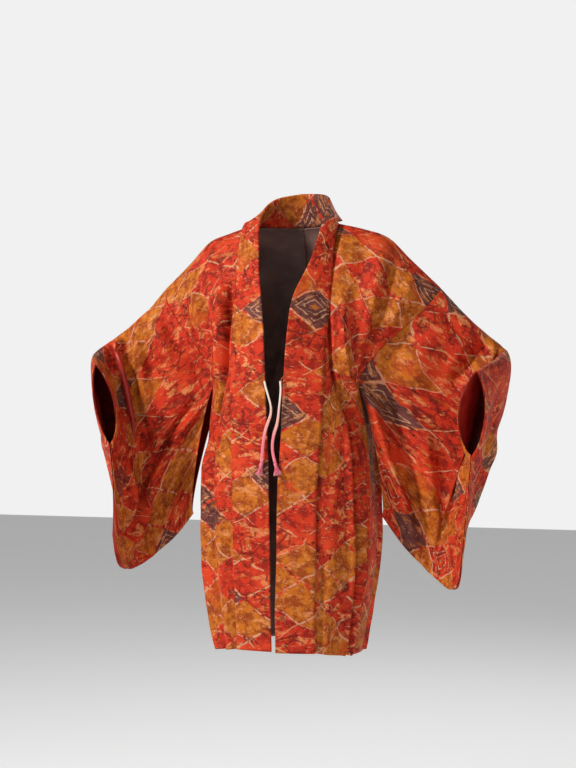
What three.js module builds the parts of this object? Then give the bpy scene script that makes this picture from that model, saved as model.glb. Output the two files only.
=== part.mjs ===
// Haori: a thigh-length, open-fronted silk jacket with hanging sleeves, in the hollow form that it
// takes on a wearer whose arms are held out and bent forward.
// Millimetres. +Z is up, the wearer faces -Y, and the wearer's left is +X.
// The origin is the middle of the base of the neck, level with the fold of the shoulders.
import * as THREE from "three";

// ---------------------------------------------------------------- driving dimensions

const WALL = 2; // crepe and its lining together
const SEAM_GAP = 0.3; // how far the edge of a piece is drawn back from its seam
const COLLAR_WIDTH = 66; // folded width of the collar band
const COLLAR_LEAF = 1.6; // thickness of each of the two leaves of the collar
const UNDERARM_Z = -310; // lower end of the seam between sleeve and body
const GUSSET_TOP_Z = -380; // the side is open between the underarm and here
const HEM_FRONT_Z = -800;
const HEM_BACK_Z = -820;
const SLEEVE_WIDTH = 340; // along the arm, from body seam to cuff
const CORNER_RADIUS = 80; // rounded lower corner of the sleeve
const UNDERARM_EASE = 1.5; // how far the sleeve stands off the body where their seam ends
const FURI_STAND = 12; // how far the open inner edge of the sleeve bows out from the body
const SECTION_POWER = 2.5; // 2 is an ellipse, more is squarer
const LINING_WALL = 1;
const LINING_GAP = 0.5; // clear space between the wall of a sleeve or panel and its lining
const LINED_ROWS = 5; // rows of the sleeve's grid, each way from the arm, that its lining covers
const TIE_DIAMETER = 5;
const LOOP_DIAMETER = 2.4;
const TASSEL_LENGTH = 25;

// Numbers of cells in the grids that the walls are built on.
const UPPER_ROWS = 7; // shoulder to underarm
const SLIT_ROWS = 2; // underarm to gusset
const LOWER_ROWS = 8; // gusset to hem
const FRONT_COLUMNS = 8;
const NECK_COLUMNS = 4; // centre back to side of neck
const GUSSET_COLUMNS = 2;
const FURI_ROWS = 5; // underarm to the foot of the sleeve
const SLEEVE_STATIONS = [0, 0.1, 0.23, 0.36, 0.5, 0.63, 0.76, 0.88, 0.95, 1];

// Horizontal sections of the body below the arms: the line centre, the half width about it,
// and the reach in front of and behind the plane y = 0.
const BODY_SECTIONS = [
  { z: -310, centre: -2, half: 149, front: 137, back: 112 },
  { z: -390, centre: -2, half: 157, front: 140, back: 117 },
  { z: -460, centre: -3, half: 164, front: 142, back: 122 },
  { z: -550, centre: -3, half: 168, front: 145, back: 129 },
  { z: -640, centre: -3, half: 165, front: 143, back: 134 },
  { z: -720, centre: -4, half: 155, front: 138, back: 137 },
  { z: -820, centre: -4, half: 138, front: 130, back: 138 },
];

// x of the two folded edges of the collar down the open front.
const OPENING_EDGES = [
  { z: -310, left: 23, right: -14 },
  { z: -390, left: 21, right: -10 },
  { z: -480, left: 16, right: -6 },
  { z: -560, left: 14, right: -4 },
  { z: -640, left: 13, right: -3 },
  { z: -720, left: 9, right: -1 },
  { z: -820, left: 7, right: -1 },
];

// y of the front and back edges of the side opening and, below it, of the gusset.
const SIDE_EDGES = [
  { z: -310, front: -46, back: 26 },
  { z: -345, front: -33, back: 9 },
  { z: -380, front: -23, back: -3 },
  { z: -600, front: -28, back: 16 },
  { z: -820, front: -32, back: 28 },
];

// The largest folds of the body, as ridges (depth above 0) and troughs that run up from the hem.
// at and width are shares of the way across the panel half, from its inner edge to the side.
const BODY_FOLDS = [
  { half: "frontleft", at: 0.6, width: 0.09, depth: 9, top: -200 },
  { half: "frontleft", at: 0.77, width: 0.07, depth: -9, top: -260 },
  { half: "frontleft", at: 0.93, width: 0.06, depth: 5, top: -430 },
  { half: "frontright", at: 0.35, width: 0.12, depth: 5, top: -420 },
  { half: "frontright", at: 0.62, width: 0.1, depth: -7, top: -400 },
  { half: "frontright", at: 0.84, width: 0.09, depth: 7, top: -450 },
  { half: "backleft", at: 0.2, width: 0.09, depth: 11, top: -420 },
  { half: "backleft", at: 0.42, width: 0.09, depth: -9, top: -470 },
  { half: "backleft", at: 0.64, width: 0.1, depth: 12, top: -380 },
  { half: "backleft", at: 0.84, width: 0.07, depth: -8, top: -440 },
  { half: "backright", at: 0.16, width: 0.09, depth: -9, top: -450 },
  { half: "backright", at: 0.36, width: 0.1, depth: 12, top: -400 },
  { half: "backright", at: 0.58, width: 0.08, depth: -9, top: -480 },
  { half: "backright", at: 0.78, width: 0.1, depth: 10, top: -390 },
];

// Each side of the garment: the fold of the shoulder from the neck to the sleeve seam, the ridge
// of the sleeve over the bent arm to the cuff, and the folded edge of the collar from the level
// of the underarm up to the nape.
const SIDES = {
  left: {
    sign: 1,
    shoulder: [
      [91, 6, 6],
      [140, 1, -6],
      [190, -2, -24],
      [232, 8, -66],
      [286, 26, -120],
    ],
    arm: [
      [286, 26, -120],
      [325, 40, -166],
      [372, 55, -211],
      [403, 52, -236],
      [402, 0, -254],
      [391, -52, -267],
      [379, -102, -280],
    ],
    collarFold: [
      [23, -138, -310],
      [29, -127, -199],
      [34, -107, -140],
      [57, -77, -74],
      [67, -52, -23],
      [70, -30, 6],
      [66, 18, 48],
      [46, 52, 66],
      [-2, 72, 72],
    ],
  },
  right: {
    sign: -1,
    shoulder: [
      [-98, 6, 4],
      [-135, 5, -8],
      [-171, 3, -22],
      [-212, -8, -68],
      [-256, -24, -116],
    ],
    arm: [
      [-256, -24, -116],
      [-290, -36, -158],
      [-330, -50, -196],
      [-362, -68, -222],
      [-364, -118, -240],
      [-348, -165, -254],
      [-326, -208, -267],
    ],
    collarFold: [
      [-14, -138, -310],
      [-21, -127, -198],
      [-30, -110, -150],
      [-42, -86, -96],
      [-52, -58, -44],
      [-60, -28, 4],
      [-58, 18, 42],
      [-42, 50, 62],
      [-2, 72, 72],
    ],
  },
};

// Where the neckline crosses the centre-back seam.
const NAPE = [-2, 84, 8];

// Sections of the sleeves: along is the share of the way from body seam to cuff, foot is the
// lower edge before its corner is rounded, front and back are the half widths of the hanging loop
// at its fullest, and bow is how far the loop's middle swings away from the body half way down.
const SLEEVE_SECTIONS = {
  left: [
    { along: 0, foot: [184, -30, -553], front: 26, back: 40, bow: 0 },
    { along: 0.3, foot: [224, 12, -622], front: 42, back: 44, bow: 0 },
    { along: 0.6, foot: [284, 5, -672], front: 36, back: 30, bow: 0 },
    { along: 0.85, foot: [327, -54, -690], front: 32, back: 20, bow: 0 },
    { along: 1, foot: [343, -84, -694], front: 33, back: 22, bow: 0 },
  ],
  right: [
    { along: 0, foot: [-190, -46, -557], front: 26, back: 30, bow: 0 },
    { along: 0.3, foot: [-250, 0, -612], front: 42, back: 44, bow: 0 },
    { along: 0.6, foot: [-300, -34, -656], front: 36, back: 32, bow: -6 },
    { along: 0.85, foot: [-312, -100, -668], front: 26, back: 20, bow: -14 },
    { along: 1, foot: [-312, -138, -672], front: 22, back: 18, bow: -16 },
  ],
};
const CUFF_SHARE = 0.46; // share of the height of the sleeve that the cuff opens at its outer end
const CLOSED_HALF = WALL / 2 + SEAM_GAP; // half width where front and back are sewn together

// The largest folds of the sleeves: around is the share of the way from the ridge over the arm
// down to the foot, given where the fold starts and ends, as is its share along the sleeve.
const SLEEVE_FOLDS = [
  { sleeve: "left", layer: "front", along: [0.16, 0.42], around: [0.2, 1], width: 0.07, depth: 16 },
  { sleeve: "left", layer: "front", along: [0.3, 0.56], around: [0.25, 1], width: 0.06, depth: -14 },
  { sleeve: "left", layer: "back", along: [0.3, 0.34], around: [0.3, 1], width: 0.08, depth: 14 },
  { sleeve: "left", layer: "back", along: [0.6, 0.62], around: [0.35, 1], width: 0.08, depth: -12 },
  { sleeve: "right", layer: "front", along: [0.14, 0.62], around: [0.3, 0.95], width: 0.07, depth: 14 },
  { sleeve: "right", layer: "front", along: [0.62, 0.5], around: [0.05, 0.6], width: 0.06, depth: -16 },
  { sleeve: "right", layer: "back", along: [0.34, 0.38], around: [0.3, 1], width: 0.08, depth: 14 },
  { sleeve: "right", layer: "back", along: [0.62, 0.58], around: [0.35, 1], width: 0.08, depth: -12 },
];

// The two ties hang from small loops on the folded edges of the collar: the route of each loop,
// that of each tie, and the way that its tassel points.
const TIES = {
  left: {
    loop: [
      [31, -143.6, -289],
      [25, -144, -290.5],
      [20.5, -144.4, -297],
      [25, -144, -303.5],
      [31, -143.6, -305],
    ],
    route: [
      [20, -148.8, -299],
      [21, -149.4, -312],
      [20.5, -150, -326],
      [19, -150.2, -340],
      [17.5, -150, -354],
      [16, -149.6, -367],
      [13.5, -149.4, -380],
      [9.5, -149.4, -392],
      [6.5, -149.6, -404],
      [5.2, -150, -416],
      [5.8, -151, -428],
      [8, -152, -439],
      [11, -153, -449],
    ],
    tassel: [0.24, 0, -1],
  },
  right: {
    loop: [
      [-22, -143.6, -289],
      [-16, -144, -290.5],
      [-11.5, -144.4, -297],
      [-16, -144, -303.5],
      [-22, -143.6, -305],
    ],
    route: [
      [-11, -148.8, -299],
      [-7.5, -149.4, -312],
      [-3, -150, -326],
      [1, -150, -340],
      [2.5, -149.6, -352],
      [0.5, -149.4, -364],
      [-3.5, -149.6, -375],
      [-7.5, -150.2, -387],
      [-10.5, -151, -400],
      [-12.3, -151.8, -414],
      [-13.5, -152.2, -428],
      [-14.3, -152.4, -439],
      [-15, -152.6, -449],
    ],
    tassel: [-0.2, 0, -1],
  },
};

// Half outline of a tassel, as shares of its length down from its top, with the radius there.
const TASSEL_OUTLINE = [
  { down: 0, radius: 2.2 },
  { down: 0.08, radius: 3.6 },
  { down: 0.2, radius: 3.4 },
  { down: 0.26, radius: 2.7 },
  { down: 0.45, radius: 4.2 },
  { down: 0.8, radius: 5.2 },
  { down: 1, radius: 5.4 },
];

// ---------------------------------------------------------------- small helpers

const vector = (point) => new THREE.Vector3(...point);
const mix = THREE.MathUtils.lerp;
const ease = THREE.MathUtils.smoothstep;
const UP = new THREE.Vector3(0, 0, 1);

// A smooth line through hand-set points.
const lineThrough = (points) => new THREE.CatmullRomCurve3(points.map(vector), false, "centripetal");

// The value of one column of a table at a place between its rows, on a smooth curve.
function readTable(table, placeColumn, column, place) {
  const rising = table[table.length - 1][placeColumn] > table[0][placeColumn];
  const passed = (row) => (rising ? row[placeColumn] <= place : row[placeColumn] >= place);
  let at = 0;
  while (at < table.length - 2 && passed(table[at + 1])) {
    at += 1;
  }
  const rows = [at - 1, at, at + 1, at + 2].map((i) => table[THREE.MathUtils.clamp(i, 0, table.length - 1)]);
  const span = rows[2][placeColumn] - rows[1][placeColumn];
  const share = THREE.MathUtils.clamp((place - rows[1][placeColumn]) / span, 0, 1);
  const [before, from, to, after] = rows.map((row) => row[column]);
  return from + share * (to - from) + bend(before, from, to, after, share);
}

// What a cubic through four values adds to the straight line between the middle two.
function bend(before, from, to, after, share) {
  const leaving = (to - before) / 2;
  const arriving = (after - from) / 2;
  const rest = 1 - share;
  return share * rest * (rest * (leaving - to + from) - share * (arriving - to + from));
}

// A point on a cubic that leaves from along leaving and arrives at to along arriving.
function hermite(from, leaving, to, arriving, share) {
  const s2 = share * share;
  const s3 = s2 * share;
  return new THREE.Vector3()
    .addScaledVector(from, 2 * s3 - 3 * s2 + 1)
    .addScaledVector(leaving, s3 - 2 * s2 + share)
    .addScaledVector(to, 3 * s2 - 2 * s3)
    .addScaledVector(arriving, s3 - s2);
}

const bell = (distance) => Math.exp(-distance * distance);

// ---------------------------------------------------------------- the body below the arms

const bodySize = (column, z) => readTable(BODY_SECTIONS, "z", column, z);

// Angle round a section at which it is as far forward or back as y: -90 degrees is the front.
function angleAtY(y, z) {
  const reach = y < 0 ? bodySize("front", z) : bodySize("back", z);
  return Math.sign(y) * Math.asin(Math.pow(Math.abs(y) / reach, SECTION_POWER / 2));
}

// Angle, on the front, at which a section is as far out as x.
function frontAngleAtX(x, z, sign) {
  const out = (sign * (x - bodySize("centre", z))) / bodySize("half", z);
  return -Math.acos(Math.pow(Math.max(out, 0), SECTION_POWER / 2));
}

// A point of the section at height z, moved out by lift.
function sectionPoint(z, angle, sign, lift) {
  const power = 2 / SECTION_POWER;
  const across = Math.pow(Math.max(Math.cos(angle), 0), power);
  const along = Math.sign(angle) * Math.pow(Math.abs(Math.sin(angle)), power);
  const reach = angle < 0 ? bodySize("front", z) : bodySize("back", z);
  return new THREE.Vector3(
    bodySize("centre", z) + sign * (bodySize("half", z) * across + lift * Math.cos(angle)),
    reach * along + lift * Math.sin(angle),
    z,
  );
}

function foldLift(half, across, z) {
  let lift = 0;
  for (const fold of BODY_FOLDS) {
    if (fold.half !== half) {
      continue;
    }
    const strength = ease(fold.top - z, 0, fold.top - HEM_BACK_Z);
    lift += fold.depth * strength * bell((across - fold.at) / fold.width);
  }
  return lift * ease(across, 0, 0.1);
}

// Heights of the rows of the body's grid from the underarm down, at an angle round the section.
function lowerHeights(angle) {
  const hem = mix(HEM_FRONT_Z, HEM_BACK_Z, ease(angle, -Math.PI / 2, 0));
  const heights = [];
  for (let i = 0; i < SLIT_ROWS; i += 1) {
    heights.push(mix(UNDERARM_Z, GUSSET_TOP_Z, i / SLIT_ROWS));
  }
  for (let i = 0; i <= LOWER_ROWS; i += 1) {
    heights.push(mix(GUSSET_TOP_Z, hem, i / LOWER_ROWS));
  }
  return heights;
}

// x of the seam between panel and collar at height z.
function collarSeamX(sideName, z) {
  return readTable(OPENING_EDGES, "z", sideName, z) + SIDES[sideName].sign * COLLAR_WIDTH;
}

// One column of points of a panel half below the underarm.
function lowerColumn(sideName, half, across) {
  const { sign } = SIDES[sideName];
  const angleAt = (z) => {
    if (half === "back") {
      return mix(Math.PI / 2, angleAtY(readTable(SIDE_EDGES, "z", "back", z), z), across);
    }
    const inner = frontAngleAtX(collarSeamX(sideName, z), z, sign);
    return mix(inner, angleAtY(readTable(SIDE_EDGES, "z", "front", z), z), across);
  };
  return lowerHeights(angleAt(UNDERARM_Z)).map((z) =>
    sectionPoint(z, angleAt(z), sign, foldLift(half + sideName, across, z)),
  );
}

// ---------------------------------------------------------------- the body above the underarm

// How a column leaves the shoulder fold: at the neck, and at the sleeve seam.
const LEAVING = {
  front: { inner: [8, -150, -70], outer: [-20, -130, -150] },
  back: { inner: [0, 90, -120], outer: [-20, 110, -130] },
};
const ARRIVING = { inner: [0, -30, -240], outer: [0, 0, -190] };

const sideVector = (point, sign) => new THREE.Vector3(sign * point[0], point[1], point[2]);

function upperColumn(side, half, start, end, outward) {
  const leaving = sideVector(LEAVING[half].inner, side.sign).lerp(
    sideVector(LEAVING[half].outer, side.sign),
    outward,
  );
  const arriving = sideVector(ARRIVING.inner, side.sign).lerp(sideVector(ARRIVING.outer, side.sign), outward);
  if (half === "back") {
    arriving.y *= -1;
  }
  const column = [];
  for (let row = 0; row < UPPER_ROWS; row += 1) {
    column.push(hermite(start, leaving, end, arriving, row / UPPER_ROWS));
  }
  return column;
}

// The top edge of a panel half: the shoulder fold and, on the back, the neckline before it.
function topEdge(side, half) {
  const shoulder = lineThrough(side.shoulder).getSpacedPoints(FRONT_COLUMNS);
  if (half === "front") {
    return shoulder;
  }
  const neckline = new THREE.QuadraticBezierCurve3(
    vector(NAPE),
    new THREE.Vector3(shoulder[0].x * 0.86, NAPE[1] * 0.85, 10),
    shoulder[0],
  ).getPoints(NECK_COLUMNS);
  return [...neckline.slice(0, -1), ...shoulder];
}

// The grid of one half of a panel as columns of points from the top edge to the hem.
function panelHalf(sideName, half) {
  const side = SIDES[sideName];
  const top = topEdge(side, half);
  const last = top.length - 1;
  return top.map((start, i) => {
    const lower = lowerColumn(sideName, half, i / last);
    const outward = Math.max(0, (i - (last - FRONT_COLUMNS)) / FRONT_COLUMNS);
    return [...upperColumn(side, half, start, lower[0], outward), ...lower];
  });
}

// ---------------------------------------------------------------- the surface of the garment

// The middle surface of all the pieces, welded, so that two pieces that meet at a seam share the
// direction in which their walls are raised there.
class Surface {
  constructor() {
    this.points = [];
    this.normals = [];
    this.places = new Map();
    this.faces = new Map();
  }

  place(point) {
    const key = point.toArray().map((value) => Math.round(value * 100)).join();
    if (!this.places.has(key)) {
      this.places.set(key, this.points.length);
      this.points.push(point.clone());
      this.normals.push(new THREE.Vector3());
    }
    return this.places.get(key);
  }

  // Adds a grid of points, columns of rows. Turned grids have their outside on the other side.
  addGrid(piece, columns, turned) {
    const faces = this.faces.get(piece) ?? [];
    this.faces.set(piece, faces);
    for (let i = 0; i + 1 < columns.length; i += 1) {
      for (let j = 0; j + 1 < columns[i].length; j += 1) {
        const corners = [columns[i][j], columns[i][j + 1], columns[i + 1][j + 1], columns[i + 1][j]];
        const face = corners.map((corner) => this.place(corner));
        faces.push(turned ? face.reverse() : face);
      }
    }
  }

  raiseNormals() {
    for (const face of [...this.faces.values()].flat()) {
      const [a, b, c, d] = face.map((index) => this.points[index]);
      const area = new THREE.Vector3().subVectors(c, a).cross(new THREE.Vector3().subVectors(d, b));
      face.forEach((index) => this.normals[index].add(area));
    }
    this.normals.forEach((normal) => normal.normalize());
  }

  // The points of one piece, drawn back from the seams that it shares with other pieces.
  seamedPoints(piece) {
    const faces = this.faces.get(piece);
    const others = new Set();
    for (const [name, list] of this.faces) {
      if (name !== piece) {
        list.flat().forEach((index) => others.add(index));
      }
    }
    const inward = new Map();
    for (const face of faces) {
      const middle = new THREE.Vector3();
      face.forEach((index) => middle.addScaledVector(this.points[index], 1 / face.length));
      for (const index of face) {
        const sum = inward.get(index) ?? new THREE.Vector3();
        inward.set(index, sum.add(middle).sub(this.points[index]));
      }
    }
    const moved = new Map();
    for (const [index, direction] of inward) {
      const point = this.points[index].clone();
      if (others.has(index)) {
        direction.projectOnPlane(this.normals[index]).normalize();
        point.addScaledVector(direction, SEAM_GAP);
      }
      moved.set(index, point);
    }
    return moved;
  }

  // A closed wall on a piece's faces, or on those of them whose numbers are kept, from one
  // distance off the middle surface to another.
  wall(piece, inside, outside, kept = () => true) {
    const faces = this.faces.get(piece).filter((_, i) => kept(i));
    const moved = this.seamedPoints(piece);
    const places = [...moved.keys()];
    const order = new Map(places.map((index, i) => [index, i]));
    const positions = [];
    for (const distance of [outside, inside]) {
      for (const index of places) {
        const point = moved.get(index).clone().addScaledVector(this.normals[index], distance);
        positions.push(...point.toArray());
      }
    }
    const triangles = [];
    const edges = new Map();
    for (const face of faces) {
      const [a, b, c, d] = face.map((index) => order.get(index));
      for (const [p, q, r] of [[a, b, c], [a, c, d]]) {
        if (p !== q && q !== r && r !== p) {
          triangles.push(p, q, r, r + places.length, q + places.length, p + places.length);
        }
      }
      for (const [p, q] of [[a, b], [b, c], [c, d], [d, a]]) {
        if (p !== q && !edges.delete(q + "," + p)) {
          edges.set(p + "," + q, [p, q]);
        }
      }
    }
    for (const [p, q] of edges.values()) {
      triangles.push(q, p, p + places.length, q, p + places.length, q + places.length);
    }
    return solidFrom(positions, triangles);
  }
}

function solidFrom(positions, triangles) {
  const geometry = new THREE.BufferGeometry();
  geometry.setAttribute("position", new THREE.Float32BufferAttribute(positions, 3));
  geometry.setIndex(triangles);
  geometry.computeVertexNormals();
  return geometry;
}

// ---------------------------------------------------------------- sleeves

const sleeveSize = (sideName, column, along) =>
  readTable(SLEEVE_SECTIONS[sideName], "along", column, along);

function sleeveFoot(sideName, along, ridge) {
  const rows = SLEEVE_SECTIONS[sideName].map((row) => ({
    along: row.along,
    x: row.foot[0],
    y: row.foot[1],
    z: row.foot[2],
  }));
  const foot = new THREE.Vector3(
    readTable(rows, "along", "x", along),
    readTable(rows, "along", "y", along),
    readTable(rows, "along", "z", along),
  );
  const beyond = Math.max(0, along * SLEEVE_WIDTH - SLEEVE_WIDTH + CORNER_RADIUS);
  const lift = CORNER_RADIUS - Math.sqrt(CORNER_RADIUS ** 2 - beyond ** 2);
  const up = new THREE.Vector3().subVectors(ridge, foot).normalize();
  return foot.addScaledVector(up, lift);
}

// Half width of the hanging loop at a share of the way down it.
function loopHalf(full, along, down) {
  const hanging = full * 2.05 * Math.sqrt(down) * Math.pow(1 - down, 1.1);
  const mouth = down < CUFF_SHARE ? full * Math.pow(Math.sin((Math.PI * down) / CUFF_SHARE), 0.7) : 0;
  const atCuff = ease(along, 0.7, 1);
  return Math.max(mix(hanging, mouth, atCuff), mix(5, CLOSED_HALF, atCuff) * ease(down, -0.01, 0.03));
}

function sleeveFoldLift(sideName, layer, along, down) {
  let lift = 0;
  for (const fold of SLEEVE_FOLDS) {
    const [top, bottom] = fold.around;
    if (fold.sleeve !== sideName || fold.layer !== layer) {
      continue;
    }
    const share = (down - top) / (bottom - top);
    const strength = ease(share, -0.3, 0.35) * (bottom < 1 ? ease(1.25 - share, 0, 0.3) : 1);
    const place = mix(fold.along[0], fold.along[1], share);
    lift += fold.depth * strength * bell((along - place) / fold.width);
  }
  return lift * ease(along, 0, 0.1) * (1 - ease(along, 0.82, 1));
}

// The loop of points of one station of a sleeve, from its foot up the front, over the arm and
// down the back.
function sleeveLoop(sideName, along, armLine, downs) {
  const { sign } = SIDES[sideName];
  const ridge = armLine.getPointAt(along);
  const foot = sleeveFoot(sideName, along, ridge);
  const forward = armLine.getTangentAt(along).cross(UP).setZ(0).normalize().multiplyScalar(sign);
  const bow = sleeveSize(sideName, "bow", along);
  const layer = (name, turn) => (down) => {
    const full = sleeveSize(sideName, name, along);
    const half = loopHalf(full, along, down) + sleeveFoldLift(sideName, name, along, down);
    const middle = new THREE.Vector3(
      mix(ridge.x, foot.x, Math.pow(down, 1.25)) + sign * bow * 4 * down * (1 - down),
      mix(ridge.y, foot.y, Math.pow(down, 1.25)),
      mix(ridge.z, foot.z, down),
    );
    return middle.addScaledVector(forward, turn * Math.max(half, CLOSED_HALF));
  };
  const frontLayer = downs.map(layer("front", 1));
  const backLayer = downs.map(layer("back", -1));
  return [foot, ...frontLayer.reverse(), ridge, ...backLayer, foot];
}

// The grid of a sleeve. Its first station is the edge of the armhole, in the panel's own points,
// and the open edges below it, and the hanging form takes over from there to the cuff.
function sleeveGrid(sideName, armholeFront, armholeBack) {
  const armLine = lineThrough(SIDES[sideName].arm);
  const seamShare = 0.5;
  const downs = [];
  for (let i = 1; i <= UPPER_ROWS; i += 1) {
    downs.push((seamShare * i) / UPPER_ROWS);
  }
  for (let i = 1; i < FURI_ROWS; i += 1) {
    downs.push(mix(seamShare, 1, i / FURI_ROWS));
  }
  const foot = sleeveFoot(sideName, 0, armLine.getPointAt(0));
  const openEdge = (from) => {
    const points = [];
    for (let i = 1; i < FURI_ROWS; i += 1) {
      const share = i / FURI_ROWS;
      const point = new THREE.Vector3().lerpVectors(from, foot, share);
      point.x += SIDES[sideName].sign * FURI_STAND * Math.sqrt(4 * share * (1 - share));
      points.push(point);
    }
    return points;
  };
  for (const armhole of [armholeFront, armholeBack]) {
    armhole[UPPER_ROWS] = armhole[UPPER_ROWS].clone();
    armhole[UPPER_ROWS].x += SIDES[sideName].sign * UNDERARM_EASE;
  }
  const front = [...armholeFront, ...openEdge(armholeFront[UPPER_ROWS])];
  const back = [...armholeBack, ...openEdge(armholeBack[UPPER_ROWS])];
  const edge = [foot, ...front.slice(1).reverse(), front[0], ...back.slice(1), foot];
  const free = sleeveLoop(sideName, 0, armLine, downs);
  return SLEEVE_STATIONS.map((along) => {
    const hold = 1 - ease(along, 0, 0.45);
    return sleeveLoop(sideName, along, armLine, downs).map((point, i) =>
      point.addScaledVector(new THREE.Vector3().subVectors(edge[i], free[i]), hold),
    );
  });
}

// ---------------------------------------------------------------- collar

// Stations of the collar on one side, from the hem to the nape: its seam on the panel, and its
// folded edge.
function collarStations(sideName, frontInner, neckline) {
  const side = SIDES[sideName];
  const seam = [...frontInner.slice().reverse(), ...neckline];
  const lowerCount = frontInner.length - UPPER_ROWS;
  const upper = seam.slice(lowerCount - 1);
  const lengths = [0];
  for (let i = 1; i < upper.length; i += 1) {
    lengths.push(lengths[i - 1] + upper[i].distanceTo(upper[i - 1]));
  }
  const foldLine = lineThrough(side.collarFold);
  return seam.map((point, i) => {
    if (i < lowerCount) {
      const x = readTable(OPENING_EDGES, "z", sideName, point.z);
      const z = point.z;
      const angle = frontAngleAtX(x, z, side.sign);
      const edge = sectionPoint(z, angle, side.sign, 0);
      return { seam: point, fold: new THREE.Vector3(x, edge.y, z), neck: 0 };
    }
    const share = lengths[i - lowerCount + 1] / lengths[lengths.length - 1];
    return { seam: point, fold: foldLine.getPointAt(share), neck: ease(share, 0.35, 0.75) };
  });
}

// The folded band: an inner leaf in line with the panels, turned back at the folded edge into an
// outer leaf that lies over it and hides the seam.
function collarBand(stations, surface) {
  const sections = stations.map(({ seam, fold, neck }) => {
    const normalAt = (point) => surface.normals[surface.place(point)];
    const across = new THREE.Vector3().subVectors(seam, fold).normalize();
    const overlap = mix(5, -4, neck);
    const stand = mix(4, 5.5, neck);
    const flare = mix(4, 10, neck);
    const half = COLLAR_LEAF / 2;
    const at = (start, normal, move, rise) =>
      start.clone().addScaledVector(across, move).addScaledVector(normal, rise);
    const seamNormal = normalAt(seam);
    const foldNormal = normalAt(fold);
    const middle = new THREE.Vector3().lerpVectors(seam, fold, 0.5);
    const middleNormal = new THREE.Vector3().addVectors(seamNormal, foldNormal).normalize();
    return [
      at(seam, seamNormal, -SEAM_GAP, -half),
      at(middle, middleNormal, 0, -half),
      at(fold, foldNormal, 0, -half),
      at(fold, foldNormal, -half, half),
      at(fold, foldNormal, -half, stand - half),
      at(fold, foldNormal, 0, stand + half),
      at(middle, middleNormal, 0, (stand + flare) / 2 + half),
      at(seam, seamNormal, overlap, flare + half),
      at(seam, seamNormal, overlap, flare - half),
      at(middle, middleNormal, 0, (stand + flare) / 2 - half),
      at(fold, foldNormal, half, stand - half),
      at(fold, foldNormal, half, half),
      at(middle, middleNormal, 0, half),
      at(seam, seamNormal, -SEAM_GAP, half),
    ];
  });
  return loftSections(sections);
}

// A closed solid through sections that all have the same number of points.
function loftSections(sections) {
  const count = sections[0].length;
  const positions = sections.flat().flatMap((point) => point.toArray());
  const triangles = [];
  for (let i = 0; i + 1 < sections.length; i += 1) {
    for (let k = 0; k < count; k += 1) {
      const a = i * count + k;
      const b = i * count + ((k + 1) % count);
      triangles.push(a, b + count, b, a, a + count, b + count);
    }
  }
  const outline = sections[0].map((_, k) => k);
  const last = (sections.length - 1) * count;
  for (const [a, b, c] of capTriangles(outline.length)) {
    triangles.push(a, b, c, last + c, last + b, last + a);
  }
  return solidFrom(positions, triangles);
}

// The cut end of the collar's section, as a strip of cells from the seam to the folded edge: its
// points go out along one side of the band and come back along the other.
function capTriangles(count) {
  const far = count - 1;
  const triangles = [];
  for (let k = 0; k < count / 2 - 1; k += 1) {
    triangles.push([k, k + 1, far - k], [k + 1, far - k - 1, far - k]);
  }
  return triangles;
}

// ---------------------------------------------------------------- ties

function roundSection(diameter, sides) {
  const shape = new THREE.Shape();
  for (let i = 0; i < sides; i += 1) {
    const angle = (2 * Math.PI * i) / sides;
    const corner = [(Math.cos(angle) * diameter) / 2, (Math.sin(angle) * diameter) / 2];
    if (i === 0) {
      shape.moveTo(...corner);
    } else {
      shape.lineTo(...corner);
    }
  }
  return shape;
}

const tube = (route, diameter, steps) =>
  new THREE.ExtrudeGeometry(roundSection(diameter, 8), { extrudePath: lineThrough(route), steps });

function tasselAt(tie) {
  const outline = TASSEL_OUTLINE.map(
    ({ down, radius }) => new THREE.Vector2(radius, -down * TASSEL_LENGTH),
  );
  const profile = [new THREE.Vector2(0, -TASSEL_LENGTH), ...outline.reverse(), new THREE.Vector2(0, 0)];
  const geometry = new THREE.LatheGeometry(profile, 10);
  const way = vector(tie.tassel).normalize();
  geometry.applyQuaternion(new THREE.Quaternion().setFromUnitVectors(new THREE.Vector3(0, -1, 0), way));
  const end = vector(tie.route[tie.route.length - 1]).addScaledVector(way, 2 * SEAM_GAP);
  return geometry.translate(...end.toArray());
}

// ---------------------------------------------------------------- putting the garment together

const garment = new THREE.Group();
const COLOURS = {
  crepe: { color: 0xc8402a, roughness: 0.75 },
  crepeSleeve: { color: 0xbb4a2a, roughness: 0.75 },
  collar: { color: 0xd0532f, roughness: 0.75 },
  lining: { color: 0x6f1a14, roughness: 0.55 },
  tie: { color: 0xf3a7a6, roughness: 0.6 },
  tassel: { color: 0xf0708a, roughness: 0.7 },
};

function addPiece(name, geometry, look) {
  const material = new THREE.MeshStandardMaterial({ ...COLOURS[look], metalness: 0 });
  const mesh = new THREE.Mesh(geometry, material);
  mesh.name = name;
  garment.add(mesh);
}

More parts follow.
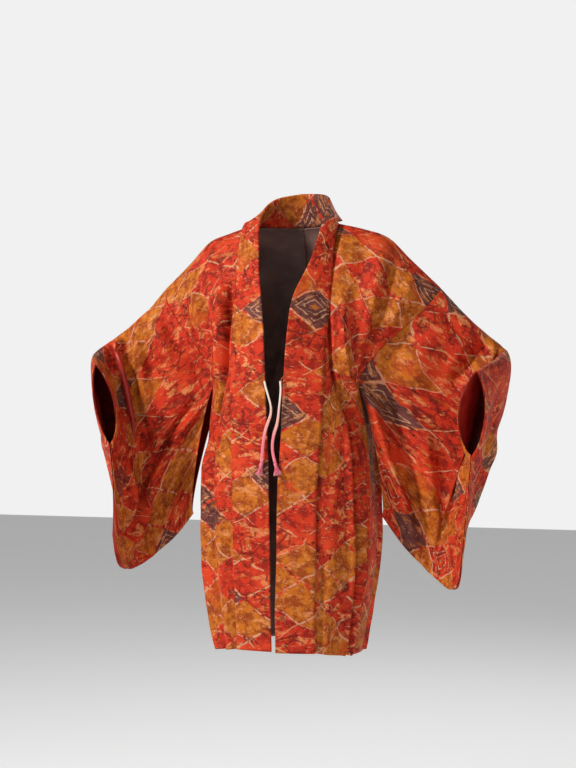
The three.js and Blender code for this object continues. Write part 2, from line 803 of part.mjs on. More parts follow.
const surface = new Surface();
const halves = {};
for (const name of ["left", "right"]) {
  const turned = name === "right";
  const front = panelHalf(name, "front");
  const back = panelHalf(name, "back");
  halves[name] = { front, back };
  surface.addGrid("panel_" + name, front, turned);
  surface.addGrid("panel_" + name, back, !turned);
  const below = UPPER_ROWS + SLIT_ROWS;
  const frontSide = front[front.length - 1];
  const backSide = back[back.length - 1];
  const gusset = [];
  for (let i = 0; i <= GUSSET_COLUMNS; i += 1) {
    gusset.push(
      frontSide.slice(below).map((point, j) => {
        const other = backSide[below + j];
        const across = i / GUSSET_COLUMNS;
        const middle = new THREE.Vector3().lerpVectors(point, other, across);
        middle.x += SIDES[name].sign * 3 * Math.sin(Math.PI * across) * (j / LOWER_ROWS);
        return middle;
      }),
    );
  }
  surface.addGrid("gusset_" + name, gusset, turned);
  const sleeve = sleeveGrid(name, frontSide.slice(0, UPPER_ROWS + 1), backSide.slice(0, UPPER_ROWS + 1));
  surface.addGrid("sleeve_" + name, sleeve, !turned);
}

const leftStations = collarStations("left", halves.left.front[0], necklineOf("left"));
const rightStations = collarStations("right", halves.right.front[0], necklineOf("right"));
const stations = [...leftStations, ...rightStations.slice(0, -1).reverse()];
surface.addGrid("collar", stations.map(({ seam, fold }) => [seam, fold]), false);
surface.raiseNormals();

// The points of the neckline after the side of the neck, to the nape.
function necklineOf(name) {
  return halves[name].back.slice(0, NECK_COLUMNS).map((column) => column[0]).reverse();
}

const frontCells = FRONT_COLUMNS * (UPPER_ROWS + SLIT_ROWS + LOWER_ROWS);
const loopCells = 2 * (UPPER_ROWS + FURI_ROWS);
const overArm = (cell) =>
  cell >= loopCells && Math.abs((cell % loopCells) + 0.5 - loopCells / 2) < LINED_ROWS;
const liningOutside = -WALL / 2 - LINING_GAP;
const liningInside = liningOutside - LINING_WALL;
for (const name of ["left", "right"]) {
  const panel = "panel_" + name;
  const sleeve = "sleeve_" + name;
  const tie = TIES[name];
  addPiece(panel, surface.wall(panel, -WALL / 2, WALL / 2), "crepe");
  addPiece("gusset_" + name, surface.wall("gusset_" + name, -WALL / 2, WALL / 2), "crepe");
  addPiece(sleeve, surface.wall(sleeve, -WALL / 2, WALL / 2), "crepeSleeve");
  addPiece(
    "back_lining_" + name,
    surface.wall(panel, liningInside, liningOutside, (cell) => cell >= frontCells),
    "lining",
  );
  addPiece("sleeve_lining_" + name, surface.wall(sleeve, liningInside, liningOutside, overArm), "lining");
  addPiece("tie_loop_" + name, tube(tie.loop, LOOP_DIAMETER, 8), "collar");
  addPiece("tie_" + name, tube(tie.route, TIE_DIAMETER, 13), "tie");
  addPiece("tassel_" + name, tasselAt(tie), "tassel");
}
addPiece("collar", collarBand(stations, surface), "collar");

export default garment;
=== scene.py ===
"""Haori jacket, in the hollow form it takes when worn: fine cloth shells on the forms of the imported
model, with their creases, a printed silk crepe, linings, and two braided ties with tassels.

Sizes and places are in millimetres in this script's tables, and MM turns them into metres."""

import math

import bmesh
import bpy
import numpy as np
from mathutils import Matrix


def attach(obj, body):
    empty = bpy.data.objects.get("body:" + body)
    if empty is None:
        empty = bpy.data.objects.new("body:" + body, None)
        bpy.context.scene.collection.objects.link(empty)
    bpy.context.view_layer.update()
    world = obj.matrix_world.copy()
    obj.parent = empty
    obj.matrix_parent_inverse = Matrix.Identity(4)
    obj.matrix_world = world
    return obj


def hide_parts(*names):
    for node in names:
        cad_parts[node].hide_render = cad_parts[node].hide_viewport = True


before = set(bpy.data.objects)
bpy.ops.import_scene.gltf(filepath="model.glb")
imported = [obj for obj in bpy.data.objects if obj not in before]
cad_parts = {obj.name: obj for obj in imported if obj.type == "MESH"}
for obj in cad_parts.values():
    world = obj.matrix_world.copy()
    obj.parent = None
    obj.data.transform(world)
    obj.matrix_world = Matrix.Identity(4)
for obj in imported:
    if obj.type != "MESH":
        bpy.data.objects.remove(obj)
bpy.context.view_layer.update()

MM = 0.001

# ---------------------------------------------------------------- camera

CAMERA_TURN = math.radians(17)  # the wearer is turned this far, so more of the left side shows
CAMERA_DISTANCE = 3000
CAMERA_AIM = (-9.6, -2.9, -304)
CAMERA_LENS = 72.1
SENSOR_WIDTH = 36


def make_camera():
    data = bpy.data.cameras.new("camera")
    data.lens = CAMERA_LENS
    data.sensor_width = SENSOR_WIDTH
    data.clip_end = 50
    camera = bpy.data.objects.new("camera", data)
    away = np.array([math.sin(CAMERA_TURN), -math.cos(CAMERA_TURN), 0]) * CAMERA_DISTANCE
    camera.location = (np.array(CAMERA_AIM) + away) * MM
    camera.rotation_euler = (math.pi / 2, 0, CAMERA_TURN)
    bpy.context.collection.objects.link(camera)
    bpy.context.scene.camera = camera


make_camera()

# ---------------------------------------------------------------- driving dimensions, as in the model

SHELL = 1.2  # thickness of the fine cloth shells
SEAM_DRAW = 0.15  # how far the edge of a piece is drawn back from its seam
COLLAR_WIDTH = 66
UNDERARM_Z = -310
HEM_FRONT_Z = -800
HEM_BACK_Z = -820
SLEEVE_WIDTH = 340
SLEEVE_DEPTH = 455
CORNER_RADIUS = 80
SECTION_POWER = 2.5
CUFF_SHARE = 0.46
CLOSED_HALF = 1.3
FURI_STAND = 12
ARMHOLE_SHARE = 0.5  # share of the sleeve's depth that is sewn to the body
FRONT_WIDTH = 195  # cloth across a front between collar and side
BACK_WIDTH = 275
UPPER_LENGTH = 330  # cloth from the shoulder fold to the underarm
LOWER_LENGTH = 500  # and from there to the hem


def table(columns, *rows):
    """The rows of a table as dictionaries, so that a column is read by its name."""
    return [dict(zip(columns.split(), row)) for row in rows]


BODY_SECTIONS = table(
    "z centre half front back",
    (-310, -2, 149, 137, 112),
    (-390, -2, 157, 140, 117),
    (-460, -3, 164, 142, 122),
    (-550, -3, 168, 145, 129),
    (-640, -3, 165, 143, 134),
    (-720, -4, 155, 138, 137),
    (-820, -4, 138, 130, 138),
)
OPENING_EDGES = table(
    "z left right",
    (-310, 23, -14), (-390, 21, -10), (-480, 16, -6), (-560, 14, -4), (-640, 13, -3),
    (-720, 9, -1), (-820, 7, -1),
)
SIDE_EDGES = table(
    "z front back",
    (-310, -46, 26), (-345, -33, 9), (-380, -23, -3), (-600, -28, 16), (-820, -32, 28),
)
SIDES = {
    "left": {
        "sign": 1,
        "shoulder": [(91, 6, 6), (140, 1, -6), (190, -2, -24), (232, 8, -66), (286, 26, -120)],
        "arm": [
            (286, 26, -120), (325, 40, -166), (372, 55, -211), (403, 52, -236), (402, 0, -254),
            (391, -52, -267), (379, -102, -280),
        ],
        "collar_fold": [
            (23, -138, -310), (29, -127, -199), (34, -107, -140), (57, -77, -74), (67, -52, -23),
            (70, -30, 6), (66, 18, 48), (46, 52, 66), (-2, 72, 72),
        ],
    },
    "right": {
        "sign": -1,
        "shoulder": [(-98, 6, 4), (-135, 5, -8), (-171, 3, -22), (-212, -8, -68), (-256, -24, -116)],
        "arm": [
            (-256, -24, -116), (-290, -36, -158), (-330, -50, -196), (-362, -68, -222),
            (-364, -118, -240), (-348, -165, -254), (-326, -208, -267),
        ],
        "collar_fold": [
            (-14, -138, -310), (-21, -127, -198), (-30, -110, -150), (-42, -86, -96),
            (-52, -58, -44), (-60, -28, 4), (-58, 18, 42), (-42, 50, 62), (-2, 72, 72),
        ],
    },
}
NAPE = (-2, 84, 8)
SLEEVE_SECTIONS = {
    "left": table(
        "along foot front back bow",
        (0, (184, -30, -553), 26, 40, 0),
        (0.3, (224, 12, -622), 42, 44, 0),
        (0.6, (284, 5, -672), 36, 30, 0),
        (0.85, (327, -54, -690), 32, 20, 0),
        (1, (343, -84, -694), 33, 22, 0),
    ),
    "right": table(
        "along foot front back bow",
        (0, (-190, -46, -557), 26, 30, 0),
        (0.3, (-250, 0, -612), 42, 44, 0),
        (0.6, (-300, -34, -656), 36, 32, -6),
        (0.85, (-312, -100, -668), 26, 20, -14),
        (1, (-312, -138, -672), 22, 18, -16),
    ),
}
# How a column of the body leaves the shoulder fold, and how it arrives at the underarm.
LEAVING = {
    "front": {"inner": (8, -150, -70), "outer": (-20, -130, -150)},
    "back": {"inner": (0, 90, -120), "outer": (-20, 110, -130)},
}
ARRIVING = {"inner": (0, -30, -240), "outer": (0, 0, -190)}

# ---------------------------------------------------------------- creases
# A crease follows a path in the cloth's own millimetres, each point (across, down): across is from
# the inner edge of a panel half, or from the body seam of a sleeve, and down is from the shoulder
# fold, or from the ridge over the arm. depth above 0 is a ridge. lean makes the side that lies to
# the left of the path, seen along it, steeper (above 0) or the other side (below 0).
# Each row is (path, width, depth, lean).

BODY_CREASES = {
    "frontleft": [
        # the sharp fold from the collar to under the arm and on down, and the swag above it
        ([(-6, 170), (26, 255), (74, 335), (112, 395), (116, 480), (128, 650), (146, 860)], 9, -17, 0.5),
        ([(28, 150), (58, 235), (104, 300), (160, 336), (192, 340)], 15, 14, -0.5),
        ([(66, 312), (112, 362), (160, 392), (176, 430)], 14, -20, 0.4),
        # the step beside the collar
        ([(5, 330), (4, 500), (5, 680), (4, 860)], 5, -5, 0.4),
        ([(92, 400), (98, 500), (108, 650), (120, 860)], 11, 10, 0.2),
        ([(152, 400), (146, 520), (152, 680), (160, 860)], 10, 10, 0.2),
        ([(174, 420), (168, 560), (172, 700), (178, 860)], 8, -10, 0),
        ([(50, 480), (46, 640), (54, 860)], 22, 5, 0),
        ([(20, 620), (24, 740), (18, 860)], 13, -4, 0),
        # folds that fall from the shoulder
        ([(52, 20), (58, 110), (84, 220)], 14, -6, 0),
        ([(84, 10), (94, 110), (128, 230), (170, 300)], 13, 6, 0.3),
        ([(112, 20), (124, 120), (152, 220), (186, 290)], 11, -9, 0.3),
        ([(148, 30), (158, 120), (182, 230)], 11, 8, 0),
        ([(22, 40), (18, 90), (26, 150)], 12, 4, 0),
    ],
    "frontright": [
        # the dark fold beside the arm and the pipes below it
        ([(20, 130), (30, 200), (44, 280), (62, 350), (84, 420)], 12, -21, 0.4),
        ([(44, 120), (56, 200), (76, 280), (104, 335)], 14, 11, 0),
        ([(0, 230), (10, 300), (28, 380), (36, 470)], 12, 8, 0),
        ([(96, 120), (104, 210), (134, 300)], 12, -9, 0),
        ([(124, 60), (130, 150), (156, 250), (186, 310)], 12, 9, 0.3),
        ([(160, 60), (166, 150), (184, 250)], 10, -9, 0),
        ([(70, 30), (74, 110), (80, 180)], 13, 5, 0),
        ([(84, 420), (82, 560), (80, 700), (78, 860)], 15, -10, 0.2),
        ([(46, 440), (44, 600), (40, 860)], 17, 6, 0),
        ([(118, 430), (122, 560), (124, 700), (126, 860)], 13, 10, 0.2),
        ([(150, 430), (158, 580), (160, 860)], 11, -10, 0),
        ([(180, 400), (182, 520), (180, 640)], 8, 5, 0),
        ([(16, 600), (12, 720), (16, 860)], 12, -4, 0),
    ],
    "backleft": [
        ([(60, 380), (54, 520), (56, 700), (50, 860)], 22, 14, 0.2),
        ([(112, 440), (110, 580), (116, 720), (114, 860)], 18, -12, 0),
        ([(170, 360), (168, 500), (178, 680), (176, 860)], 22, 15, 0.3),
        ([(226, 400), (222, 540), (232, 700), (230, 860)], 15, -12, 0),
        ([(256, 420), (254, 600), (258, 860)], 10, 8, 0),
        ([(24, 560), (26, 700), (20, 860)], 11, -6, 0),
        ([(40, 70), (96, 170), (190, 290)], 17, -8, 0),
        ([(92, 60), (150, 150), (236, 270)], 15, 9, 0.3),
        ([(150, 40), (200, 130), (262, 220)], 13, -9, 0.2),
        ([(16, 180), (60, 290), (150, 390)], 16, 6, 0),
        ([(200, 40), (236, 100), (266, 160)], 10, 6, 0),
    ],
    "backright": [
        ([(44, 430), (46, 560), (40, 700), (44, 860)], 20, -12, 0),
        ([(98, 370), (92, 520), (102, 700), (98, 860)], 22, 15, 0.2),
        ([(156, 440), (160, 600), (152, 740), (160, 860)], 17, -12, 0),
        ([(212, 370), (206, 520), (216, 700), (212, 860)], 20, 14, 0.3),
        ([(250, 420), (248, 600), (252, 860)], 11, -9, 0),
        ([(14, 520), (12, 700), (16, 860)], 10, 5, 0),
        ([(60, 60), (110, 180), (190, 300)], 16, 8, 0.2),
        ([(112, 50), (160, 160), (234, 290)], 15, -9, 0.2),
        ([(176, 40), (214, 130), (262, 230)], 12, 9, 0.3),
        ([(20, 200), (70, 300), (130, 370)], 15, -6, 0),
        ([(224, 40), (246, 100), (268, 150)], 9, -5, 0),
    ],
}

SLEEVE_CREASES = {
    "leftfront": [
        # the long valley from under the arm to the lower corner, with a ridge on each side
        ([(40, 170), (52, 230), (70, 300), (94, 366), (144, 416), (190, 440)], 14, -22, 0.3),
        ([(14, 200), (16, 270), (34, 330), (72, 392), (120, 430)], 15, 17, 0),
        ([(84, 210), (98, 280), (124, 340), (176, 392)], 15, 13, 0.2),
        # the crook of the elbow, and the band along the top of the arm
        ([(150, -6), (134, 26), (112, 50), (102, 116), (100, 150)], 12, -20, 0.3),
        ([(0, 30), (44, 38), (92, 42), (126, 34)], 10, -10, 0.5),
        ([(170, 16), (152, 50), (134, 100), (132, 150)], 13, 10, 0),
        ([(200, 20), (186, 60), (176, 110), (184, 170)], 11, -10, 0.2),
        ([(16, 70), (14, 130), (26, 190)], 11, -10, 0),
        ([(44, 60), (50, 120), (66, 180)], 13, 9, 0),
        ([(74, 62), (82, 120), (86, 190)], 10, -6, 0),
        # shallow folds across the lower corner
        ([(150, 300), (200, 312), (262, 300), (304, 304)], 11, -8, 0.3),
        ([(140, 350), (190, 366), (250, 362), (300, 350)], 11, 8, 0.3),
        ([(160, 392), (214, 406), (268, 398)], 9, -6, 0),
        ([(210, 190), (222, 250), (218, 300)], 13, 9, 0),
        ([(252, 200), (262, 260), (268, 330)], 12, -9, 0),
    ],
    "leftback": [
        ([(96, 110), (104, 220), (112, 340), (120, 450)], 22, 17, 0.2),
        ([(158, 130), (160, 240), (168, 360), (164, 450)], 17, -16, 0),
        ([(208, 150), (212, 260), (206, 360), (214, 450)], 18, 12, 0),
        ([(40, 60), (48, 170), (62, 290), (66, 400)], 16, -12, 0),
        ([(148, 10), (150, 80), (140, 150)], 12, -12, 0.2),
        ([(262, 60), (256, 170), (268, 300)], 15, -9, 0.2),
        ([(100, 20), (92, 70), (98, 130)], 11, 6, 0),
    ],
    "rightfront": [
        # the deep valley below the elbow
        ([(146, -8), (128, 40), (124, 96), (128, 172), (122, 258), (128, 300)], 13, -23, -0.4),
        ([(178, -6), (168, 60), (166, 130), (170, 210)], 14, 13, -0.2),
        ([(210, 20), (206, 90), (210, 170)], 11, -9, 0),
        # the swag from under the arm to the lower corner, between two valleys
        ([(0, 250), (48, 258), (92, 286), (172, 340), (250, 392), (300, 404)], 15, 20, 0.4),
        ([(30, 214), (62, 232), (104, 280), (170, 316), (236, 352)], 12, -16, 0.3),
        ([(0, 322), (40, 348), (104, 372), (190, 410), (250, 428)], 14, -16, 0),
        ([(6, 390), (60, 410), (130, 430)], 10, 8, 0),
        # soft folds that hang from the arm
        ([(10, 30), (26, 100), (22, 180), (14, 230)], 13, -10, 0),
        ([(44, 24), (56, 100), (60, 170)], 14, 10, 0),
        ([(78, 30), (88, 110), (96, 200)], 13, -9, 0.2),
        ([(104, 20), (104, 90), (108, 150)], 9, 6, 0),
        ([(230, 240), (226, 310), (240, 370)], 14, 9, 0),
        ([(196, 250), (190, 310)], 12, -8, 0),
        ([(270, 250), (268, 330), (280, 390)], 11, -8, 0),
    ],
    "rightback": [
        ([(112, 100), (118, 220), (126, 340), (130, 450)], 22, 17, 0.2),
        ([(170, 130), (166, 240), (172, 350), (168, 450)], 17, -16, 0),
        ([(214, 150), (208, 250), (218, 360), (210, 450)], 17, 12, 0),
        ([(40, 60), (54, 180), (64, 300), (72, 400)], 16, -12, 0),
        ([(150, 10), (146, 80), (152, 150)], 12, -12, 0.2),
        ([(262, 50), (264, 170), (262, 300)], 14, -9, 0.2),
        ([(96, 20), (104, 80), (98, 130)], 11, 6, 0),
    ],
}

# ---------------------------------------------------------------- numbers and curves


def mix(a, b, t):
    return a + (b - a) * t


def ease(value, low, high):
    t = np.clip((value - low) / (high - low), 0, 1)
    return t * t * (3 - 2 * t)


def unit(v):
    return v / np.maximum(np.linalg.norm(v, axis=-1, keepdims=True), 1e-9)


def read_table(table, place, column, at):
    """A column of a table at places between its rows, on a smooth curve."""
    places = np.array([row[place] for row in table], float)
    values = np.array([row[column] for row in table], float)
    if places[-1] < places[0]:
        places, values = places[::-1], values[::-1]
    at = np.asarray(at, float)
    i = np.clip(np.searchsorted(places, at, side="right") - 1, 0, len(places) - 2)
    t = np.clip((at - places[i]) / (places[i + 1] - places[i]), 0, 1)
    last = len(values) - 1
    before, a, b, after = (values[np.clip(i + k, 0, last)] for k in (-1, 0, 1, 2))
    slope_a = (b - before) / 2
    slope_b = (after - a) / 2
    bend = t * (1 - t) * ((1 - t) * (slope_a - b + a) - t * (slope_b - b + a))
    return a + t * (b - a) + bend


class Line:
    """A smooth line through given points, read by its share of the way along."""

    SAMPLES = 40

    def __init__(self, points):
        p = np.array(points, float)
        ends = [2 * p[0] - p[1]], p, [2 * p[-1] - p[-2]]
        p = np.concatenate(ends)
        path = []
        for k in range(1, len(p) - 2):
            t = np.linspace(0, 1, self.SAMPLES, endpoint=False)
            path.append(self.centripetal(p[k - 1 : k + 3], t))
        path.append(p[-2:-1])
        self.path = np.concatenate(path)
        steps = np.linalg.norm(np.diff(self.path, axis=0), axis=1)
        self.length = np.concatenate([[0], np.cumsum(steps)])

    @staticmethod
    def centripetal(p, t):
        knots = np.concatenate([[0], np.cumsum(np.sqrt(np.linalg.norm(np.diff(p, axis=0), axis=1)))])
        x = mix(knots[1], knots[2], t)[:, None]

        def blend(a, b, lo, hi):
            return a * (hi - x) / (hi - lo) + b * (x - lo) / (hi - lo)

        a1 = blend(p[0], p[1], knots[0], knots[1])
        a2 = blend(p[1], p[2], knots[1], knots[2])
        a3 = blend(p[2], p[3], knots[2], knots[3])
        b1 = blend(a1, a2, knots[0], knots[2])
        b2 = blend(a2, a3, knots[1], knots[3])
        return blend(b1, b2, knots[1], knots[2])

    def at(self, share):
        place = np.asarray(share) * self.length[-1]
        return np.stack([np.interp(place, self.length, self.path[:, k]) for k in range(3)], axis=-1)

    def tangent(self, share):
        step = 0.004
        return unit(self.at(np.clip(share + step, 0, 1)) - self.at(np.clip(share - step, 0, 1)))


NOISE_SIDE = 64
noise_table = np.random.default_rng(11).uniform(-1, 1, (NOISE_SIDE, NOISE_SIDE))


def soft_noise(u, v):
    """Smooth noise from -1 to 1, with cells 1 across."""
    i = np.floor(u).astype(int)
    j = np.floor(v).astype(int)
    fu = u - i
    fv = v - j
    fu = fu * fu * (3 - 2 * fu)
    fv = fv * fv * (3 - 2 * fv)

    def corner(di, dj):
        return noise_table[(i + di) % NOISE_SIDE, (j + dj) % NOISE_SIDE]

    return mix(mix(corner(0, 0), corner(1, 0), fu), mix(corner(0, 1), corner(1, 1), fu), fv)


def crease_lift(creases, across, down):
    """How far the creases raise the cloth at places given in its own millimetres."""
    lift = np.zeros(np.broadcast(across, down).shape)
    wander = 2.5 * soft_noise(across / 31 + 3.3, down / 47 + 1.9)
    for path, width, depth, lean in creases:
        path = np.array(path, float)
        nearest = np.full(lift.shape, 1e9)
        side = np.zeros(lift.shape)
        share = np.zeros(lift.shape)
        steps = np.diff(path, axis=0)
        lengths = np.linalg.norm(steps, axis=1)
        starts = np.concatenate([[0], np.cumsum(lengths)])
        for k, (corner, step, length) in enumerate(zip(path, steps, lengths)):
            along = ((across - corner[0]) * step[0] + (down - corner[1]) * step[1]) / length**2
            held = np.clip(along, 0, 1)
            dx = across - corner[0] - held * step[0]
            dy = down - corner[1] - held * step[1]
            distance = np.hypot(dx, dy)
            closer = distance < nearest
            nearest = np.where(closer, distance, nearest)
            side = np.where(closer, np.sign(dx * step[1] - dy * step[0]), side)
            share = np.where(closer, (starts[k] + held * length) / starts[-1], share)
        off = nearest * side + wander
        reach = width * np.where(off * lean > 0, 1 - abs(lean), 1)
        ends = ease(share * starts[-1], -10, 60) * ease((1 - share) * starts[-1], -10, 60)
        lift += depth * ends * np.exp(-((off / reach) ** 2))
    return lift


def small_wrinkles(across, down, seed):
    """Shallow uneven puckers that every worn cloth has."""
    long_ones = soft_noise(across / 26 + seed, down / 150 + seed * 0.7)
    slanted = soft_noise((across + 0.6 * down) / 34 + seed * 1.3, (down - 0.4 * across) / 90)
    fine = soft_noise(across / 13 + seed * 2.1, down / 38 + seed)
    return 1.3 * long_ones + 1.1 * slanted + 0.45 * fine


WRINKLE_SEEDS = {
    "frontleft": 3.1,
    "frontright": 8.7,
    "backleft": 17.3,
    "backright": 23.9,
    "sleeveleft": 31.7,
    "sleeveright": 47.1,
}
SEAM_FURROW = (0.6, 5)  # depth and width
CENTRE_FURROW = (1.1, 4)


def furrow(distance, depth, width):
    """The shallow furrow that a sewn seam draws in the cloth beside it."""
    return depth * np.exp(-((distance / width) ** 2))


def grid_normals(p, sign):
    across = np.gradient(p, axis=0)
    down = np.gradient(p, axis=1)
    return unit(np.cross(across, down)) * sign


# ---------------------------------------------------------------- the body


def body_size(column, z):
    return read_table(BODY_SECTIONS, "z", column, z)


def angle_at_y(y, z):
    reach = np.where(y < 0, body_size("front", z), body_size("back", z))
    return np.sign(y) * np.arcsin((np.abs(y) / reach) ** (SECTION_POWER / 2))


def front_angle_at_x(x, z, sign):
    out = sign * (x - body_size("centre", z)) / body_size("half", z)
    return -np.arccos(np.maximum(out, 0) ** (SECTION_POWER / 2))


def section_point(z, angle, sign):
    power = 2 / SECTION_POWER
    across = np.maximum(np.cos(angle), 0) ** power
    along = np.sign(angle) * np.abs(np.sin(angle)) ** power
    reach = np.where(angle < 0, body_size("front", z), body_size("back", z))
    x = body_size("centre", z) + sign * body_size("half", z) * across
    return np.stack([x, reach * along, z], axis=-1)


def hem_height(angle):
    return mix(HEM_FRONT_Z, HEM_BACK_Z, ease(angle, -math.pi / 2, 0))


def lower_points(side_name, half, across, share):
    """Points below the underarm. across is 0 at the inner edge, share is 0 at the underarm."""
    sign = SIDES[side_name]["sign"]

    def angle_at(z):
        outer = angle_at_y(read_table(SIDE_EDGES, "z", half, z), z)
        if half == "back":
            return mix(math.pi / 2, outer, across)
        seam_x = read_table(OPENING_EDGES, "z", side_name, z) + sign * COLLAR_WIDTH
        return mix(front_angle_at_x(seam_x, z, sign), outer, across)

    top = np.full_like(share, UNDERARM_Z)
    z = mix(UNDERARM_Z, hem_height(angle_at(top)), share)
    return section_point(z, angle_at(z), sign)


def hermite(start, leaving, end, arriving, t):
    t = t[..., None]
    t2, t3 = t * t, t * t * t
    return (
        start * (2 * t3 - 3 * t2 + 1)
        + leaving * (t3 - 2 * t2 + t)
        + end * (3 * t2 - 2 * t3)
        + arriving * (t3 - t2)
    )


NECK_SHARE = 1 / 3  # share of the top of a back half that lies on the neckline


def top_points(side, half, across):
    shoulder = Line(side["shoulder"])
    if half == "front":
        return shoulder.at(across)
    start = shoulder.at(0.0)
    middle = np.array([start[0] * 0.86, NAPE[1] * 0.85, 10])
    t = np.clip(across / NECK_SHARE, 0, 1)[..., None]
    neckline = (1 - t) ** 2 * np.array(NAPE) + 2 * t * (1 - t) * middle + t * t * start
    beyond = shoulder.at(np.clip((across - NECK_SHARE) / (1 - NECK_SHARE), 0, 1))
    return np.where((across < NECK_SHARE)[..., None], neckline, beyond)


def upper_points(side_name, half, across, share):
    side = SIDES[side_name]
    turn = np.array([side["sign"], 1, 1])
    outward = across if half == "front" else np.clip((across - NECK_SHARE) / (1 - NECK_SHARE), 0, 1)
    outward = outward[..., None]
    leaving = mix(np.array(LEAVING[half]["inner"]), np.array(LEAVING[half]["outer"]), outward) * turn
    arriving = mix(np.array(ARRIVING["inner"]), np.array(ARRIVING["outer"]), outward) * turn
    if half == "back":
        arriving = arriving * np.array([1, -1, 1])
    end = lower_points(side_name, half, across, np.zeros_like(across))
    return hermite(top_points(side, half, across), leaving, end, arriving, share)


UPPER_CELLS = 66
LOWER_CELLS = 100
JOIN_PASSES = 6
JOIN_CELLS = 14  # cells each way from the underarm over which the two stretches are blended
SLIT_SHARE = 0.145  # share of the way from underarm to hem at which the gusset starts


def body_half(side_name, half, columns):
    """One half of a panel as a grid of points with its cloth coordinates, before any creases."""
    rows = np.arange(UPPER_CELLS + LOWER_CELLS + 1)
    across, row = np.meshgrid(np.linspace(0, 1, columns + 1), rows, indexing="ij")
    upper = upper_points(side_name, half, across, np.clip(row / UPPER_CELLS, 0, 1))
    low_share = np.clip((row - UPPER_CELLS) / LOWER_CELLS, 0, 1)
    lower = lower_points(side_name, half, across, low_share)
    points = np.where((row < UPPER_CELLS)[..., None], upper, lower)
    # soften the change of direction between the two stretches
    for _ in range(JOIN_PASSES):
        band = slice(UPPER_CELLS - JOIN_CELLS, UPPER_CELLS + JOIN_CELLS + 1)
        inner = points[:, band]
        inner[:, 1:-1] = (inner[:, :-2] + inner[:, 1:-1] * 2 + inner[:, 2:]) / 4
    width = FRONT_WIDTH if half == "front" else BACK_WIDTH
    lower_down = UPPER_LENGTH + low_share * LOWER_LENGTH
    down = np.where(row < UPPER_CELLS, row / UPPER_CELLS * UPPER_LENGTH, lower_down)
    return points, across * width, down


def creased_half(side_name, half, columns):
    points, across, down = body_half(side_name, half, columns)
    outside = SIDES[side_name]["sign"] * (-1 if half == "front" else 1)
    normals = grid_normals(points, outside)
    width = across.max()
    creases = BODY_CREASES[half + side_name]
    seed = WRINKLE_SEEDS[half + side_name]
    lift = crease_lift(creases, across, down) + small_wrinkles(across, down, seed)
    lift = lift * ease(across, 0, 14) * ease(width - across, 0, 16) * ease(down, 0, 60)
    lift = lift - furrow(width - across, *SEAM_FURROW) * ease(down, 0, 40)
    if half == "back":
        lift = lift - furrow(across, *CENTRE_FURROW)
    points = points + normals * lift[..., None]
    return points, across, down, normals


# ---------------------------------------------------------------- the sleeves

SLEEVE_CELLS = 130
LAYER_CELLS = 96


def sleeve_size(side_name, column, along):
    return read_table(SLEEVE_SECTIONS[side_name], "along", column, along)


def sleeve_foot(side_name, along, ridge):
    sections = SLEEVE_SECTIONS[side_name]
    rows = [{"along": r["along"], **dict(enumerate(r["foot"]))} for r in sections]
    foot = np.stack([read_table(rows, "along", k, along) for k in range(3)], axis=-1)
    beyond = np.maximum(0, along * SLEEVE_WIDTH - SLEEVE_WIDTH + CORNER_RADIUS)
    lift = CORNER_RADIUS - np.sqrt(np.maximum(CORNER_RADIUS**2 - beyond**2, 0))
    return foot + unit(ridge - foot) * lift[..., None]


def loop_half(full, along, down):
    hanging = full * 2.05 * np.sqrt(down) * np.maximum(1 - down, 0) ** 1.1
    rising = np.sin(np.pi * np.clip(down / CUFF_SHARE, 0, 1))
    mouth = np.where(down < CUFF_SHARE, full * np.maximum(rising, 0) ** 0.7, 0)
    at_cuff = ease(along, 0.7, 1)
    least = mix(5, CLOSED_HALF, at_cuff) * ease(down, -0.01, 0.03)
    return np.maximum(mix(hanging, mouth, at_cuff), least)


def sleeve_layer(side_name, layer, along, down):
    """Points of the front or back layer of a sleeve, hanging free of the body."""
    sign = SIDES[side_name]["sign"]
    arm = Line(SIDES[side_name]["arm"])
    ridge = arm.at(along)
    tangent = arm.tangent(along)
    forward = unit(np.stack([tangent[..., 1], -tangent[..., 0], 0 * tangent[..., 0]], axis=-1)) * sign
    foot = sleeve_foot(side_name, along, ridge)
    half = loop_half(sleeve_size(side_name, layer, along), along, down)
    creases = SLEEVE_CREASES[side_name + layer]
    across_mm, down_mm = along * SLEEVE_WIDTH, down * SLEEVE_DEPTH
    lift = crease_lift(creases, across_mm, down_mm)
    lift = lift * ease(along, 0, 0.1) * (1 - ease(along, 0.82, 1)) * ease(down, 0, 0.06)
    half = np.maximum(half + lift, CLOSED_HALF * ease(down, 0, 0.02))
    bow = sign * sleeve_size(side_name, "bow", along) * 4 * down * (1 - down)
    sway = down**1.25
    middle = np.stack(
        [
            mix(ridge[..., 0], foot[..., 0], sway) + bow,
            mix(ridge[..., 1], foot[..., 1], sway),
            mix(ridge[..., 2], foot[..., 2], down),
        ],
        axis=-1,
    )
    return middle + forward * (half * (1 if layer == "front" else -1))[..., None]


def armhole_edge(side_name, layer, down):
    """The edge that the layer is sewn to, and below it the sleeve's own open edge."""
    sewn = np.clip(down / ARMHOLE_SHARE, 0, 1)
    on_body = upper_points(side_name, layer, np.ones_like(sewn), sewn)
    arm = Line(SIDES[side_name]["arm"])
    foot = sleeve_foot(side_name, np.array(0.0), arm.at(0.0))
    corner = on_body[-1:]
    share = np.clip((down - ARMHOLE_SHARE) / (1 - ARMHOLE_SHARE), 0, 1)
    hanging = mix(corner, foot, share[..., None])
    stand = FURI_STAND * np.sqrt(4 * share * (1 - share))
    hanging[..., 0] += SIDES[side_name]["sign"] * stand
    return np.where((down < ARMHOLE_SHARE)[..., None], on_body, hanging)


